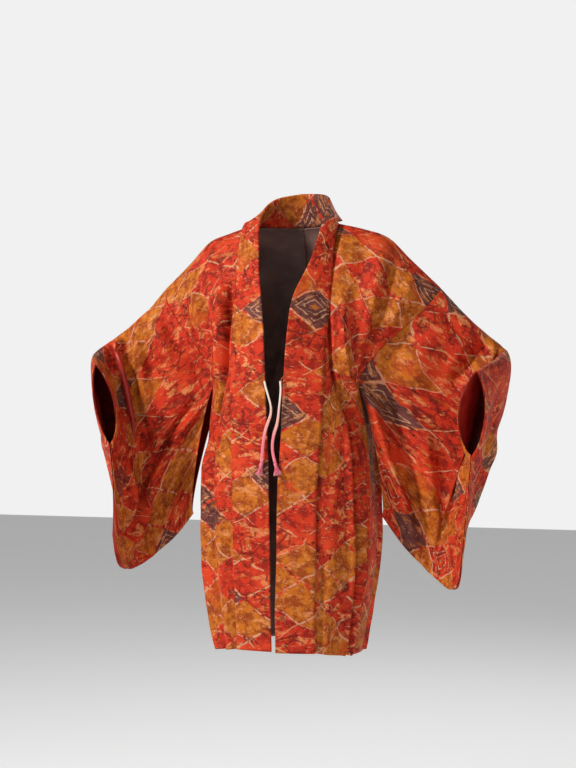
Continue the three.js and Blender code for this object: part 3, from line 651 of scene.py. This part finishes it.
def sleeve_points(side_name):
    """The whole sleeve as a grid: along the arm, and from the front foot over the arm to the back."""
    down_line = np.linspace(0, 1, LAYER_CELLS + 1)
    along, down = np.meshgrid(np.linspace(0, 1, SLEEVE_CELLS + 1), down_line, indexing="ij")
    hold = (1 - ease(along, 0, 0.45))[..., None]
    layers = {}
    for layer in ("front", "back"):
        free = sleeve_layer(side_name, layer, along, down)
        edge = armhole_edge(side_name, layer, down_line)
        start = sleeve_layer(side_name, layer, np.zeros_like(down_line), down_line)
        layers[layer] = free + (edge - start)[None] * hold
    points = np.concatenate([layers["front"][:, ::-1], layers["back"][:, 1:]], axis=1)
    signed = np.concatenate([-down_line[::-1], down_line[1:]])
    across = along[:, :1] * SLEEVE_WIDTH + 0 * signed[None]
    return points, across, signed[None] * SLEEVE_DEPTH + 0 * across


def finished_sleeve(side_name):
    points, across, down = sleeve_points(side_name)
    sign = SIDES[side_name]["sign"]
    normals = grid_normals(points, sign)
    lift = small_wrinkles(down * 0.7, across * 1.3, WRINKLE_SEEDS["sleeve" + side_name])
    lift = lift * ease(across, 0, 20) * ease(SLEEVE_WIDTH - across, 0, 25)
    near_foot = SLEEVE_DEPTH - np.abs(down)
    lift = np.clip(lift, -2, 2) * ease(near_foot, 5, 60)
    sewn = np.abs(down) < ARMHOLE_SHARE * SLEEVE_DEPTH
    lift = lift - furrow(across, *SEAM_FURROW) * sewn
    closed = ease(across, SLEEVE_WIDTH - 40, SLEEVE_WIDTH) * ease(np.abs(down), 170, 220)
    lift = lift * (1 - closed)
    return points + normals * lift[..., None], across, down, normals


# ---------------------------------------------------------------- the collar


def collar_line(side_name, front_inner, front_normals, neckline, neck_normals):
    """Stations of the collar on one side from the hem to the nape."""
    side = SIDES[side_name]
    seam = np.concatenate([front_inner[::-1], neckline])
    normal = np.concatenate([front_normals[::-1], neck_normals])
    lower = LOWER_CELLS + 1
    fold = np.zeros_like(seam)
    z = seam[:lower, 2]
    x = read_table(OPENING_EDGES, "z", side_name, z)
    fold[:lower] = section_point(z, front_angle_at_x(x, z, side["sign"]), side["sign"])
    upper = seam[lower - 1 :]
    steps = np.linalg.norm(np.diff(upper, axis=0), axis=1)
    share = np.concatenate([[0], np.cumsum(steps)]) / steps.sum()
    path = Line(side["collar_fold"]).at(share)
    join = (fold[lower - 1] - path[0]) * (1 - ease(share, 0, 0.2))[:, None]
    fold[lower - 1 :] = path + join
    neck = np.concatenate([np.zeros(lower - 1), ease(share, 0.35, 0.75)])
    return seam, fold, normal, neck


LEAF_CELLS = 12
TURN_CELLS = 8
# each pair is at the front and round the neck
COLLAR_STAND = (3.4, 5.2)  # distance between the leaves at the fold
COLLAR_FLARE = (3.6, 10)  # how far the outer leaf's free edge stands off
COLLAR_OVERLAP = (5, -4)  # how far that edge lies past the seam
COLLAR_BELLY = 1.6
RIPPLE_STEP = 0.16


def collar_surface(seam, fold, seam_normal, neck):
    """The band's middle surface: inner leaf, turn at the folded edge, outer leaf."""
    run = np.gradient(seam + fold, axis=0)
    strip_normal = unit(np.cross(run, seam - fold))
    facing = np.sign(np.sum(strip_normal * seam_normal, axis=-1, keepdims=True))
    strip_normal = strip_normal * np.where(facing == 0, 1, facing)
    edge_normal = unit(seam_normal + strip_normal)
    across = unit(seam - fold)
    place = np.arange(len(seam)) * RIPPLE_STEP
    wave = soft_noise(place * 0.9, place * 0 + 5.5)
    ripple = soft_noise(place * 2.3, place * 0 + 9.5)
    stand = mix(*COLLAR_STAND, neck) + 0.8 * wave
    flare = mix(*COLLAR_FLARE, neck) + 1.0 * ripple
    overlap = mix(*COLLAR_OVERLAP, neck)
    columns, widths = [], []
    for k in np.linspace(0, 1, LEAF_CELLS, endpoint=False):
        columns.append(mix(seam, fold, k) - across * SEAM_DRAW * (1 - k))
        widths.append(COLLAR_WIDTH * k)
    for k in np.linspace(-math.pi / 2, math.pi / 2, TURN_CELLS, endpoint=False):
        rise = (stand / 2 * (1 + math.sin(k)))[:, None]
        reach = (stand / 2 * math.cos(k))[:, None]
        columns.append(fold + strip_normal * rise - across * reach)
        widths.append(COLLAR_WIDTH + 2 + 2 * math.sin(k))
    for k in np.linspace(0, 1, LEAF_CELLS + 1):
        normal = unit(mix(strip_normal, edge_normal, k))
        end = seam + across * overlap[:, None]
        belly = COLLAR_BELLY * math.sin(math.pi * k) * (1 + 0.5 * wave)
        rise = (mix(stand, flare, k) + belly)[:, None]
        columns.append(mix(fold, end, k) + normal * rise)
        widths.append(COLLAR_WIDTH * (1 + k) + 4)
    points = np.stack(columns, axis=1)
    length = np.concatenate([[0], np.cumsum(np.linalg.norm(np.diff(seam, axis=0), axis=1))])
    across_mm = np.array(widths)[None] + 0 * length[:, None]
    return points, across_mm, length[:, None] + 0 * across_mm


# ---------------------------------------------------------------- meshes

collection = bpy.context.collection


def sheet_object(name, grids, materials, thickness=SHELL, offset=0.0):
    """One shell from grids of (points, across, down, turned), welded where they meet."""
    mesh = bpy.data.meshes.new(name)
    verts, faces, uvs = [], [], []
    base = 0
    for points, across, down, turned in grids:
        rows, cols = points.shape[:2]
        verts.append(points.reshape(-1, 3) * MM)
        uvs.append(np.stack([across, down], axis=-1).reshape(-1, 2) * MM)
        index = np.arange(rows * cols).reshape(rows, cols) + base
        ring = (index[:-1, :-1], index[:-1, 1:], index[1:, 1:], index[1:, :-1])
        quads = np.stack(ring, axis=-1).reshape(-1, 4)
        faces.append(quads[:, ::-1] if turned else quads)
        base += rows * cols
    verts, faces, uvs = np.concatenate(verts), np.concatenate(faces), np.concatenate(uvs)
    mesh.from_pydata(verts.tolist(), [], faces.tolist())
    layer = mesh.uv_layers.new(name="cloth")
    corners = np.empty(len(mesh.loops), dtype=np.int32)
    mesh.loops.foreach_get("vertex_index", corners)
    layer.data.foreach_set("uv", uvs[corners].ravel())
    work = bmesh.new()
    work.from_mesh(mesh)
    bmesh.ops.remove_doubles(work, verts=work.verts, dist=0.00002)
    work.to_mesh(mesh)
    work.free()
    mesh.shade_smooth()
    for material in materials:
        mesh.materials.append(material)
    piece = bpy.data.objects.new(name, mesh)
    collection.objects.link(piece)
    if thickness:
        shell = piece.modifiers.new("thickness", "SOLIDIFY")
        shell.thickness = thickness * MM
        shell.offset = offset
        if len(materials) > 1:
            shell.material_offset = 1
    return piece


def drawn_back(points, first=True, last=True):
    """Draws the first and last columns of a grid back from the seams there."""
    points = points.copy()
    if first:
        points[0] += unit(points[1] - points[0]) * SEAM_DRAW
    if last:
        points[-1] += unit(points[-2] - points[-1]) * SEAM_DRAW
    return points


# ---------------------------------------------------------------- materials


class Nodes:
    """Builds a node tree with short calls. A value is a number, a colour or another node's socket."""

    def __init__(self, material):
        material.use_nodes = True
        self.tree = material.node_tree
        self.tree.nodes.clear()

    def add(self, kind, inputs=(), output=0, **settings):
        node = self.tree.nodes.new(kind)
        for key, value in settings.items():
            setattr(node, key, value)
        for key, value in dict(inputs).items():
            self.join(value, node.inputs[key])
        return node.outputs[output] if node.outputs else node

    def join(self, value, socket):
        if isinstance(value, bpy.types.NodeSocket):
            self.tree.links.new(value, socket)
        elif isinstance(value, tuple) and len(value) == 3 and socket.type == "RGBA":
            socket.default_value = (*value, 1)
        else:
            socket.default_value = value

    def math(self, operation, a, b=0.0, clamp=False):
        return self.add("ShaderNodeMath", {0: a, 1: b}, operation=operation, use_clamp=clamp)

    def times(self, a, b):
        return self.math("MULTIPLY", a, b)

    def plus(self, a, b, clamp=False):
        return self.math("ADD", a, b, clamp)

    def minus(self, a, b):
        return self.math("SUBTRACT", a, b)

    def blend(self, share, a, b):
        return self.add("ShaderNodeMix", {"Factor": share, 6: a, 7: b}, output=2, data_type="RGBA")

    def finish(self, colour, bump, settings):
        """The shader, with its own settings, and the material's output."""
        shader = self.tree.nodes.new("ShaderNodeBsdfPrincipled")
        self.join(colour, shader.inputs["Base Color"])
        self.join(bump, shader.inputs["Normal"])
        for name, value in settings.items():
            self.join(value, shader.inputs[name])
        out = self.tree.nodes.new("ShaderNodeOutputMaterial")
        self.join(shader.outputs[0], out.inputs[0])

    def noise(self, place, scale, detail=3.0, roughness=0.55, output=0):
        inputs = {"Vector": place, "Scale": scale, "Detail": detail, "Roughness": roughness}
        return self.add("ShaderNodeTexNoise", inputs, output=output)

    def step(self, value, low, high):
        """0 below low, 1 above high, and smooth between."""
        inputs = {"Value": value, "From Min": low, "From Max": high}
        return self.add("ShaderNodeMapRange", inputs, interpolation_type="SMOOTHSTEP")

    def band(self, value, low, high, soft):
        up = self.step(value, low - soft, low + soft)
        down = self.step(value, high - soft, high + soft)
        return self.math("SUBTRACT", up, down, clamp=True)


def srgb(code):
    """A colour written as six hex digits, as the linear numbers that shaders take."""
    parts = [int(code[k : k + 2], 16) / 255 for k in (0, 2, 4)]
    return tuple(p / 12.92 if p <= 0.04045 else ((p + 0.055) / 1.055) ** 2.4 for p in parts)


VERMILION = srgb("c4331a")
DEEP_RED = srgb("931f12")
BRIGHT = srgb("d64321")
OCHRE = srgb("c0681a")
OCHRE_DARK = srgb("963f12")
MAUVE = srgb("713f38")
MAUVE_DARK = srgb("5a322e")
PEACH = srgb("df9058")
BEIGE = srgb("cfa078")
MAROON = srgb("4d1611")

DIAMOND_WIDTH = 0.112
DIAMOND_HEIGHT = 0.078


def crepe_material(name, shift):
    """Printed silk crepe: a patchwork of plain diamonds on a mottled ground, with brushed blots
    and dark crackle, and the fine pebbled surface of crepe."""
    material = bpy.data.materials.new(name)
    n = Nodes(material)
    uv = n.add("ShaderNodeTexCoord", output=2)
    place = n.add("ShaderNodeVectorMath", {0: uv, 1: (shift, shift * 0.37, 0)}, operation="ADD")
    drift = n.noise(place, 14, 2, output=1)
    drift = n.add("ShaderNodeVectorMath", {0: drift, 1: (0.5, 0.5, 0.5)}, operation="SUBTRACT")
    drift = n.add("ShaderNodeVectorMath", {0: drift, "Scale": 0.03}, operation="SCALE")
    hand = n.add("ShaderNodeVectorMath", {0: place, 1: drift}, operation="ADD")
    split = n.tree.nodes.new("ShaderNodeSeparateXYZ")
    n.join(hand, split.inputs[0])
    wide = n.math("DIVIDE", split.outputs[0], DIAMOND_WIDTH)
    tall = n.math("DIVIDE", split.outputs[1], DIAMOND_HEIGHT)
    a = n.plus(wide, tall)
    b = n.minus(wide, tall)
    cell = n.add("ShaderNodeCombineXYZ", {0: n.math("FLOOR", a), 1: n.math("FLOOR", b), 2: shift})
    kind = n.add("ShaderNodeTexWhiteNoise", {"Vector": cell}, noise_dimensions="3D")
    tint = n.add("ShaderNodeTexWhiteNoise", {"Vector": cell, "W": 3.7}, noise_dimensions="4D")
    da = n.math("ABSOLUTE", n.minus(n.math("FRACT", a), 0.5))
    db = n.math("ABSOLUTE", n.minus(n.math("FRACT", b), 0.5))
    ring = n.times(n.math("MAXIMUM", da, db), 2.0)
    ragged = n.times(n.minus(n.noise(place, 120, 4, 0.7), 0.5), 0.2)
    ring = n.plus(ring, ragged)

    mottle = n.noise(place, 52, 6, 0.7)
    cloud = n.noise(place, 11, 3)
    fleck = n.noise(place, 120, 4, 0.7)
    ground = n.blend(n.step(mottle, 0.43, 0.54), DEEP_RED, VERMILION)
    ground = n.blend(n.times(n.step(cloud, 0.52, 0.64), 0.7), ground, BRIGHT)
    ochre = n.blend(n.step(mottle, 0.42, 0.58), OCHRE_DARK, OCHRE)
    ochre = n.blend(n.times(n.step(fleck, 0.56, 0.64), 0.45), ochre, PEACH)
    ochre = n.blend(n.times(n.step(cloud, 0.56, 0.66), 0.5), ochre, VERMILION)
    mauve = n.blend(n.step(mottle, 0.42, 0.56), MAUVE_DARK, MAUVE)

    inside = n.minus(1.0, n.step(ring, 0.9, 0.95))
    is_ochre = n.times(n.band(kind, 0.04, 0.32, 0.001), inside)
    is_mauve = n.times(n.band(kind, 0.9, 0.97, 0.001), inside)
    is_nested = n.times(n.band(kind, 0.91, 0.99, 0.001), inside)
    colour = n.blend(is_ochre, ground, ochre)
    colour = n.blend(is_mauve, colour, mauve)

    broken = n.step(n.noise(place, 48, 3), 0.42, 0.5)
    lines = n.plus(n.band(ring, 0.33, 0.38, 0.02), n.band(ring, 0.6, 0.65, 0.02), clamp=True)
    lines = n.times(n.times(lines, is_nested), broken)
    colour = n.blend(n.times(lines, 0.85), colour, BEIGE)
    heart = n.times(n.minus(1.0, n.step(ring, 0.1, 0.16)), is_nested)
    colour = n.blend(n.times(heart, 0.7), colour, OCHRE)

    outlined = n.plus(n.band(kind, 0.0, 0.5, 0.001), n.step(kind, 0.86, 0.861), clamp=True)
    rim = n.times(n.step(ring, 0.93, 0.965), n.step(n.noise(place, 34, 3), 0.43, 0.52))
    colour = n.blend(n.times(n.times(rim, outlined), 0.75), colour, BEIGE)

    brushed = n.add("ShaderNodeMapping", {"Vector": hand, "Rotation": (0, 0, 0.5), "Scale": (1, 1.9, 1)})
    blot = n.step(n.noise(brushed, 26, 5, 0.65), 0.55, 0.6)
    blot = n.times(blot, n.step(n.noise(place, 100, 4, 0.7), 0.4, 0.52))
    blot = n.times(blot, n.plus(n.times(tint, 0.45), 0.4))
    colour = n.blend(blot, colour, PEACH)
    streak = n.add("ShaderNodeMapping", {"Vector": hand, "Rotation": (0, 0, -0.7), "Scale": (1, 3.0, 1)})
    strokes = n.step(n.noise(streak, 40, 4, 0.6), 0.59, 0.65)
    colour = n.blend(n.times(strokes, 0.6), colour, OCHRE)
    dry = n.add("ShaderNodeMapping", {"Vector": hand, "Rotation": (0, 0, 0.3), "Scale": (1, 4.0, 1)})
    dry = n.step(n.noise(dry, 75, 4, 0.6), 0.62, 0.67)
    colour = n.blend(n.times(dry, 0.55), colour, BEIGE)

    bare = n.minus(1.0, n.times(is_ochre, 0.55))
    crackle = n.add("ShaderNodeTexVoronoi", {"Vector": hand, "Scale": 40.0}, feature="DISTANCE_TO_EDGE")
    crackle = n.plus(crackle, n.times(fleck, 0.12))
    crackle = n.minus(1.0, n.step(crackle, 0.07, 0.15))
    crackle = n.times(crackle, n.step(n.noise(place, 19, 3), 0.48, 0.56))
    specks = n.step(n.noise(place, 85, 5, 0.75), 0.56, 0.61)
    specks = n.times(specks, n.step(n.noise(place, 16, 3), 0.48, 0.55))
    dark = n.plus(n.times(crackle, 0.65), n.times(specks, 0.9), clamp=True)
    colour = n.blend(n.times(dark, bare), colour, MAROON)

    pebble = n.noise(place, 700, 2, 0.6)
    threads = n.add("ShaderNodeMapping", {"Vector": place, "Scale": (1, 0.22, 1)})
    threads = n.noise(threads, 1100, 2, 0.5)
    height = n.plus(pebble, n.times(threads, 0.6))
    bump = n.add("ShaderNodeBump", {"Height": height, "Strength": 0.5, "Distance": 0.0008})
    settings = {
        "Roughness": n.plus(n.times(mottle, 0.25), 0.55),
        "Specular IOR Level": 0.12,
        "Sheen Weight": 0.02,
        "Sheen Roughness": 0.5,
        "Sheen Tint": (1.0, 0.7, 0.55, 1),
    }
    n.finish(colour, bump, settings)
    return material


def lining_material(name, base, shade, roughness):
    """Smooth plain-weave lining silk, a little uneven in its dye, with fine ribs of thread."""
    material = bpy.data.materials.new(name)
    n = Nodes(material)
    uv = n.add("ShaderNodeTexCoord", output=2)
    cloud = n.noise(uv, 18, 4)
    colour = n.blend(n.step(cloud, 0.35, 0.65), shade, base)
    ribs = n.add("ShaderNodeTexWave", {"Vector": uv, "Scale": 420.0, "Distortion": 0.6})
    bump = n.add("ShaderNodeBump", {"Height": ribs, "Strength": 0.12, "Distance": 0.0003})
    n.finish(colour, bump, {"Roughness": roughness, "Specular IOR Level": 0.4})
    return material


def thread_material(name, top, middle, foot):
    """Silk thread whose colour runs along its length, with the twist of its strands."""
    material = bpy.data.materials.new(name)
    n = Nodes(material)
    uv = n.add("ShaderNodeTexCoord", output=2)
    split = n.tree.nodes.new("ShaderNodeSeparateXYZ")
    n.join(uv, split.inputs[0])
    along = split.outputs[1]
    colour = n.blend(n.step(along, 0.15, 0.5), top, middle)
    colour = n.blend(n.step(along, 0.45, 0.8), colour, foot)
    uneven = n.noise(uv, 40, 3)
    colour = n.blend(n.times(n.step(uneven, 0.45, 0.7), 0.25), colour, top)
    wave = {"Vector": uv, "Scale": 30.0, "Distortion": 1.0}
    twist = n.add("ShaderNodeTexWave", wave, bands_direction="DIAGONAL")
    bump = n.add("ShaderNodeBump", {"Height": twist, "Strength": 0.35, "Distance": 0.0003})
    n.finish(colour, bump, {"Roughness": 0.5, "Sheen Weight": 0.25})
    return material


crepe = {
    "panel_left": crepe_material("crepe_panel_left", 0.31),
    "panel_right": crepe_material("crepe_panel_right", 1.77),
    "sleeve_left": crepe_material("crepe_sleeve_left", 2.93),
    "sleeve_right": crepe_material("crepe_sleeve_right", 4.19),
    "collar": crepe_material("crepe_collar", 5.43),
}
body_lining = lining_material("body_lining", srgb("7a5a50"), srgb("604540"), 0.5)
red_lining = lining_material("sleeve_lining", srgb("a8281c"), srgb("861a12"), 0.42)
braid_silk = thread_material("tie_braid", srgb("efe0d0"), srgb("f0b0a0"), srgb("ee7484"))
tassel_silk = thread_material("tassel_silk", srgb("f0788c"), srgb("ee6480"), srgb("f58a9c"))

# ---------------------------------------------------------------- building the cloth

FRONT_CELLS = 60
BACK_CELLS = 90
LINING_LIFT = -1.9  # the linings lie this far inside the middle of the cloth
LINING_START = 0.1  # share of the arm at which the sleeve's lining starts
LINING_SHELL = 0.5
COLLAR_SHELL = 1.4
BACK_PRINT_SHIFT = 40  # how far the back's stretch of the print lies beside the front's
GUSSET_CELLS = 12
GUSSET_SWELL = 3
GUSSET_CLOTH = (55, 430)
LINED_SHARE = 0.357  # share of the sleeve's depth, each way from the arm, that has its own lining


def finish_piece(piece, node):
    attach(piece, "root")
    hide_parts(node)


halves = {}
for side_name in ("left", "right"):
    turned = side_name == "right"
    front = creased_half(side_name, "front", FRONT_CELLS)
    back = creased_half(side_name, "back", BACK_CELLS)
    halves[side_name] = {"front": front, "back": back}
    panel = sheet_object(
        "panel_%s_cloth" % side_name,
        [
            (drawn_back(front[0]), front[1], -front[2], turned),
            (drawn_back(back[0]), -back[1] - BACK_PRINT_SHIFT, back[2], not turned),
        ],
        [crepe["panel_" + side_name], body_lining],
    )
    finish_piece(panel, "panel_" + side_name)

    inner = back[0] + back[3] * LINING_LIFT
    lining = sheet_object(
        "back_lining_%s_silk" % side_name,
        [(drawn_back(inner), back[1], back[2], not turned)],
        [body_lining],
        thickness=LINING_SHELL,
        offset=-1.0,
    )
    finish_piece(lining, "back_lining_" + side_name)

    start = UPPER_CELLS + int(round(SLIT_SHARE * LOWER_CELLS))
    front_edge = front[0][-1, start:]
    back_edge = back[0][-1, start:]
    strip = np.linspace(0, 1, GUSSET_CELLS + 1)[:, None, None]
    swell = GUSSET_SWELL * np.sin(np.pi * strip) * np.linspace(0, 1, len(front_edge))[None, :, None]
    gusset_points = mix(front_edge[None], back_edge[None], strip)
    gusset_points = gusset_points + swell * np.array([SIDES[side_name]["sign"], 0, 0])
    across = strip[..., 0] * GUSSET_CLOTH[0] + 0 * gusset_points[..., 0]
    down = np.linspace(0, GUSSET_CLOTH[1], len(front_edge))[None] + 0 * across
    gusset = sheet_object(
        "gusset_%s_cloth" % side_name,
        [(drawn_back(gusset_points), across, down, turned)],
        [crepe["panel_" + side_name], body_lining],
    )
    finish_piece(gusset, "gusset_" + side_name)

    sleeve = finished_sleeve(side_name)
    sleeve_points_now = drawn_back(sleeve[0], last=False)
    cloth = sheet_object(
        "sleeve_%s_cloth" % side_name,
        [(sleeve_points_now, sleeve[1], sleeve[2], not turned)],
        [crepe["sleeve_" + side_name], red_lining],
    )
    finish_piece(cloth, "sleeve_" + side_name)

    first = int(SLEEVE_CELLS * LINING_START)
    middle = LAYER_CELLS
    reach = int(LAYER_CELLS * LINED_SHARE)
    window = (slice(first, None), slice(middle - reach, middle + reach + 1))
    inner = (sleeve[0] + sleeve[3] * LINING_LIFT)[window]
    sleeve_lining = sheet_object(
        "sleeve_lining_%s_silk" % side_name,
        [(inner, sleeve[1][window], sleeve[2][window], not turned)],
        [red_lining],
        thickness=LINING_SHELL,
        offset=-1.0,
    )
    finish_piece(sleeve_lining, "sleeve_lining_" + side_name)

collar_sides = []
for side_name in ("left", "right"):
    front = halves[side_name]["front"]
    back = halves[side_name]["back"]
    count = int(round(BACK_CELLS * NECK_SHARE))
    collar_sides.append(
        collar_line(
            side_name,
            front[0][0],
            front[3][0],
            back[0][:count, 0][::-1],
            back[3][:count, 0][::-1],
        )
    )
seam, fold, seam_normal, neck = (
    np.concatenate([left, right[:-1][::-1]]) for left, right in zip(*collar_sides)
)
band = collar_surface(seam, fold, seam_normal, neck)
collar = sheet_object("collar_cloth", [(*band, False)], [crepe["collar"]], thickness=COLLAR_SHELL)
finish_piece(collar, "collar")

# ---------------------------------------------------------------- ties

LOOP_DIAMETER = 2.4
TASSEL_LENGTH = 25
TIES = {
    "left": {
        "loop": [
            (31, -143.6, -289), (25, -144, -290.5), (20.5, -144.4, -297), (25, -144, -303.5),
            (31, -143.6, -305),
        ],
        "route": [
            (20, -148.8, -299), (21, -149.4, -312), (20.5, -150, -326), (19, -150.2, -340),
            (17.5, -150, -354), (16, -149.6, -367), (13.5, -149.4, -380), (9.5, -149.4, -392),
            (6.5, -149.6, -404), (5.2, -150, -416), (5.8, -151, -428), (8, -152, -439),
            (11, -153, -449),
        ],
        "tassel": (0.24, 0, -1),
    },
    "right": {
        "loop": [
            (-22, -143.6, -289), (-16, -144, -290.5), (-11.5, -144.4, -297), (-16, -144, -303.5),
            (-22, -143.6, -305),
        ],
        "route": [
            (-11, -148.8, -299), (-7.5, -149.4, -312), (-3, -150, -326), (1, -150, -340),
            (2.5, -149.6, -352), (0.5, -149.4, -364), (-3.5, -149.6, -375), (-7.5, -150.2, -387),
            (-10.5, -151, -400), (-12.3, -151.8, -414), (-13.5, -152.2, -428),
            (-14.3, -152.4, -439), (-15, -152.6, -449),
        ],
        "tassel": (-0.2, 0, -1),
    },
}
BRAID_STRANDS = 3
BRAID_STRAND_RADIUS = 1.25
BRAID_PITCH = 9.0
BRAID_STEP = 0.8
BRAID_SWAY = (0.8, 1.9)  # before and after the stretch where the braid opens out
BRAID_OPENS = (40, 90)
BRAID_DEPTH = 0.75
TASSEL_THREADS = 130


def frame_along(points):
    """Two directions square to a path at each of its points."""
    tangent = unit(np.gradient(points, axis=0))
    side = unit(np.cross(tangent, np.array([0.0, 1.0, 0.0])))
    return side, unit(np.cross(side, tangent))


def tube_grid(points, radius, sides):
    side, up = frame_along(points)
    angle = np.linspace(0, 2 * math.pi, sides + 1)[None, :, None]
    radius = np.broadcast_to(np.asarray(radius, float), (len(points),))[:, None, None]
    ring = points[:, None] + radius * (np.cos(angle) * side[:, None] + np.sin(angle) * up[:, None])
    share = np.linspace(0, 1, len(points))[:, None] + 0 * angle[0, :, 0][None]
    around = np.linspace(0, 1, sides + 1)[None] + 0 * share
    return ring, around / MM, share / MM, False


def closed_object(name, grids, material):
    piece = sheet_object(name, grids, [material], thickness=0)
    work = bmesh.new()
    work.from_mesh(piece.data)
    bmesh.ops.holes_fill(work, edges=[e for e in work.edges if e.is_boundary], sides=0)
    bmesh.ops.recalc_face_normals(work, faces=work.faces)
    work.to_mesh(piece.data)
    work.free()
    return piece


def braid_grids(route):
    line = Line(route)
    length = line.length[-1]
    count = int(length / BRAID_STEP)
    centre = line.at(np.linspace(0, 1, count))
    side, up = frame_along(centre)
    distance = np.linspace(0, length, count)
    grids = []
    for k in range(BRAID_STRANDS):
        phase = 2 * math.pi * (distance / BRAID_PITCH + k / BRAID_STRANDS)
        spread = mix(*BRAID_SWAY, ease(distance, *BRAID_OPENS))
        sway = (spread * np.sin(phase))[:, None] * side + BRAID_DEPTH * np.sin(2 * phase)[:, None] * up
        grids.append(tube_grid(centre + sway, BRAID_STRAND_RADIUS, 8))
    return grids, centre, length


def tassel_grids(tie):
    draw = np.random.default_rng(5 if tie is TIES["left"] else 6)
    way = unit(np.array(tie["tassel"], float))
    top = np.array(tie["route"][-1], float) + way * 0.6
    across = unit(np.cross(way, (0.0, 1.0, 0.0)))
    deep = np.cross(way, across)
    downs = np.array([0, 0.05, 0.1, 0.16, 0.22, 0.26])
    radii = np.array([1.6, 2.9, 3.5, 3.4, 2.9, 2.5])
    grids = [tube_grid(top + way * (downs * TASSEL_LENGTH)[:, None], radii, 14)]
    share = np.linspace(0, 1, 7)
    for _ in range(TASSEL_THREADS):
        turn = draw.uniform(0, 2 * math.pi)
        out = math.sqrt(draw.uniform(0, 1))
        reach = draw.uniform(0.84, 1.0) * TASSEL_LENGTH
        radial = math.cos(turn) * across + math.sin(turn) * deep
        spread = out * (2.1 + 6.2 * share**1.4) + 0.3 * np.sin(share * 7 + turn * 3)
        path = top + way * mix(0.2 * TASSEL_LENGTH, reach, share)[:, None] + radial * spread[:, None]
        grids.append(tube_grid(path, mix(0.34, 0.22, share), 5))
    return grids


for side_name, tie in TIES.items():
    loop_path = Line(tie["loop"]).at(np.linspace(0, 1, 30))
    loop_tube = tube_grid(loop_path, LOOP_DIAMETER / 2, 10)
    loop = closed_object("tie_loop_%s_cord" % side_name, [loop_tube], crepe["collar"])
    finish_piece(loop, "tie_loop_" + side_name)
    tassel = closed_object("tassel_%s_threads" % side_name, tassel_grids(tie), tassel_silk)
    finish_piece(tassel, "tassel_" + side_name)
    grids, centre, length = braid_grids(tie["route"])
    cord = closed_object("tie_%s_braid" % side_name, grids, braid_silk)
    finish_piece(cord, "tie_" + side_name)

# ---------------------------------------------------------------- stage and light

FLOOR_Z = -1.42  # the height of the shoulders above the ground


def make_stage():
    work = bmesh.new()
    bmesh.ops.create_grid(work, x_segments=8, y_segments=8, size=9)
    mesh = bpy.data.meshes.new("floor")
    work.to_mesh(mesh)
    work.free()
    floor = bpy.data.objects.new("floor", mesh)
    floor.location = (0, 0, FLOOR_Z)
    collection.objects.link(floor)
    material = bpy.data.materials.new("floor_white")
    material.use_nodes = True
    shader = material.node_tree.nodes["Principled BSDF"]
    shader.inputs["Base Color"].default_value = (0.9, 0.9, 0.9, 1)
    shader.inputs["Roughness"].default_value = 0.9
    shader.inputs["Emission Color"].default_value = (1, 1, 1, 1)
    shader.inputs["Emission Strength"].default_value = 0.25
    mesh.materials.append(material)


def area_light(name, place, aim, size, power):
    data = bpy.data.lights.new(name, "AREA")
    data.shape = "DISK"
    data.size = size
    data.energy = power
    light = bpy.data.objects.new(name, data)
    light.location = place
    direction = np.array(aim) - np.array(place)
    yaw = math.atan2(direction[0], -direction[1])
    tilt = math.atan2(math.hypot(direction[0], direction[1]), -direction[2])
    light.rotation_euler = (tilt, 0, yaw + math.pi)
    collection.objects.link(light)


make_stage()
area_light("key", (-1.9, -2.2, 1.8), (0, 0, -0.35), 0.6, 125)
area_light("fill", (2.4, -2.2, 0.2), (0, 0, -0.4), 1.6, 8)
area_light("rim", (0.6, 2.6, 1.5), (0, 0, -0.3), 1.6, 30)


def studio_world():
    """A white horizon and a darker ceiling, so that the soft light comes from the sides."""
    world = bpy.data.worlds.new("studio")
    world.use_nodes = True
    tree = world.node_tree
    place = tree.nodes.new("ShaderNodeTexCoord")
    split = tree.nodes.new("ShaderNodeSeparateXYZ")
    tree.links.new(place.outputs["Generated"], split.inputs[0])
    fall = tree.nodes.new("ShaderNodeMapRange")
    fall.interpolation_type = "SMOOTHSTEP"
    for key, value in {"From Min": 0.25, "From Max": 0.42, "To Min": 0.88, "To Max": 0.04}.items():
        fall.inputs[key].default_value = value
    tree.links.new(split.outputs[2], fall.inputs["Value"])
    background = tree.nodes["Background"]
    background.inputs[0].default_value = (1, 1, 1, 1)
    tree.links.new(fall.outputs[0], background.inputs[1])
    bpy.context.scene.world = world


studio_world()
bpy.context.scene.view_settings.view_transform = "Standard"
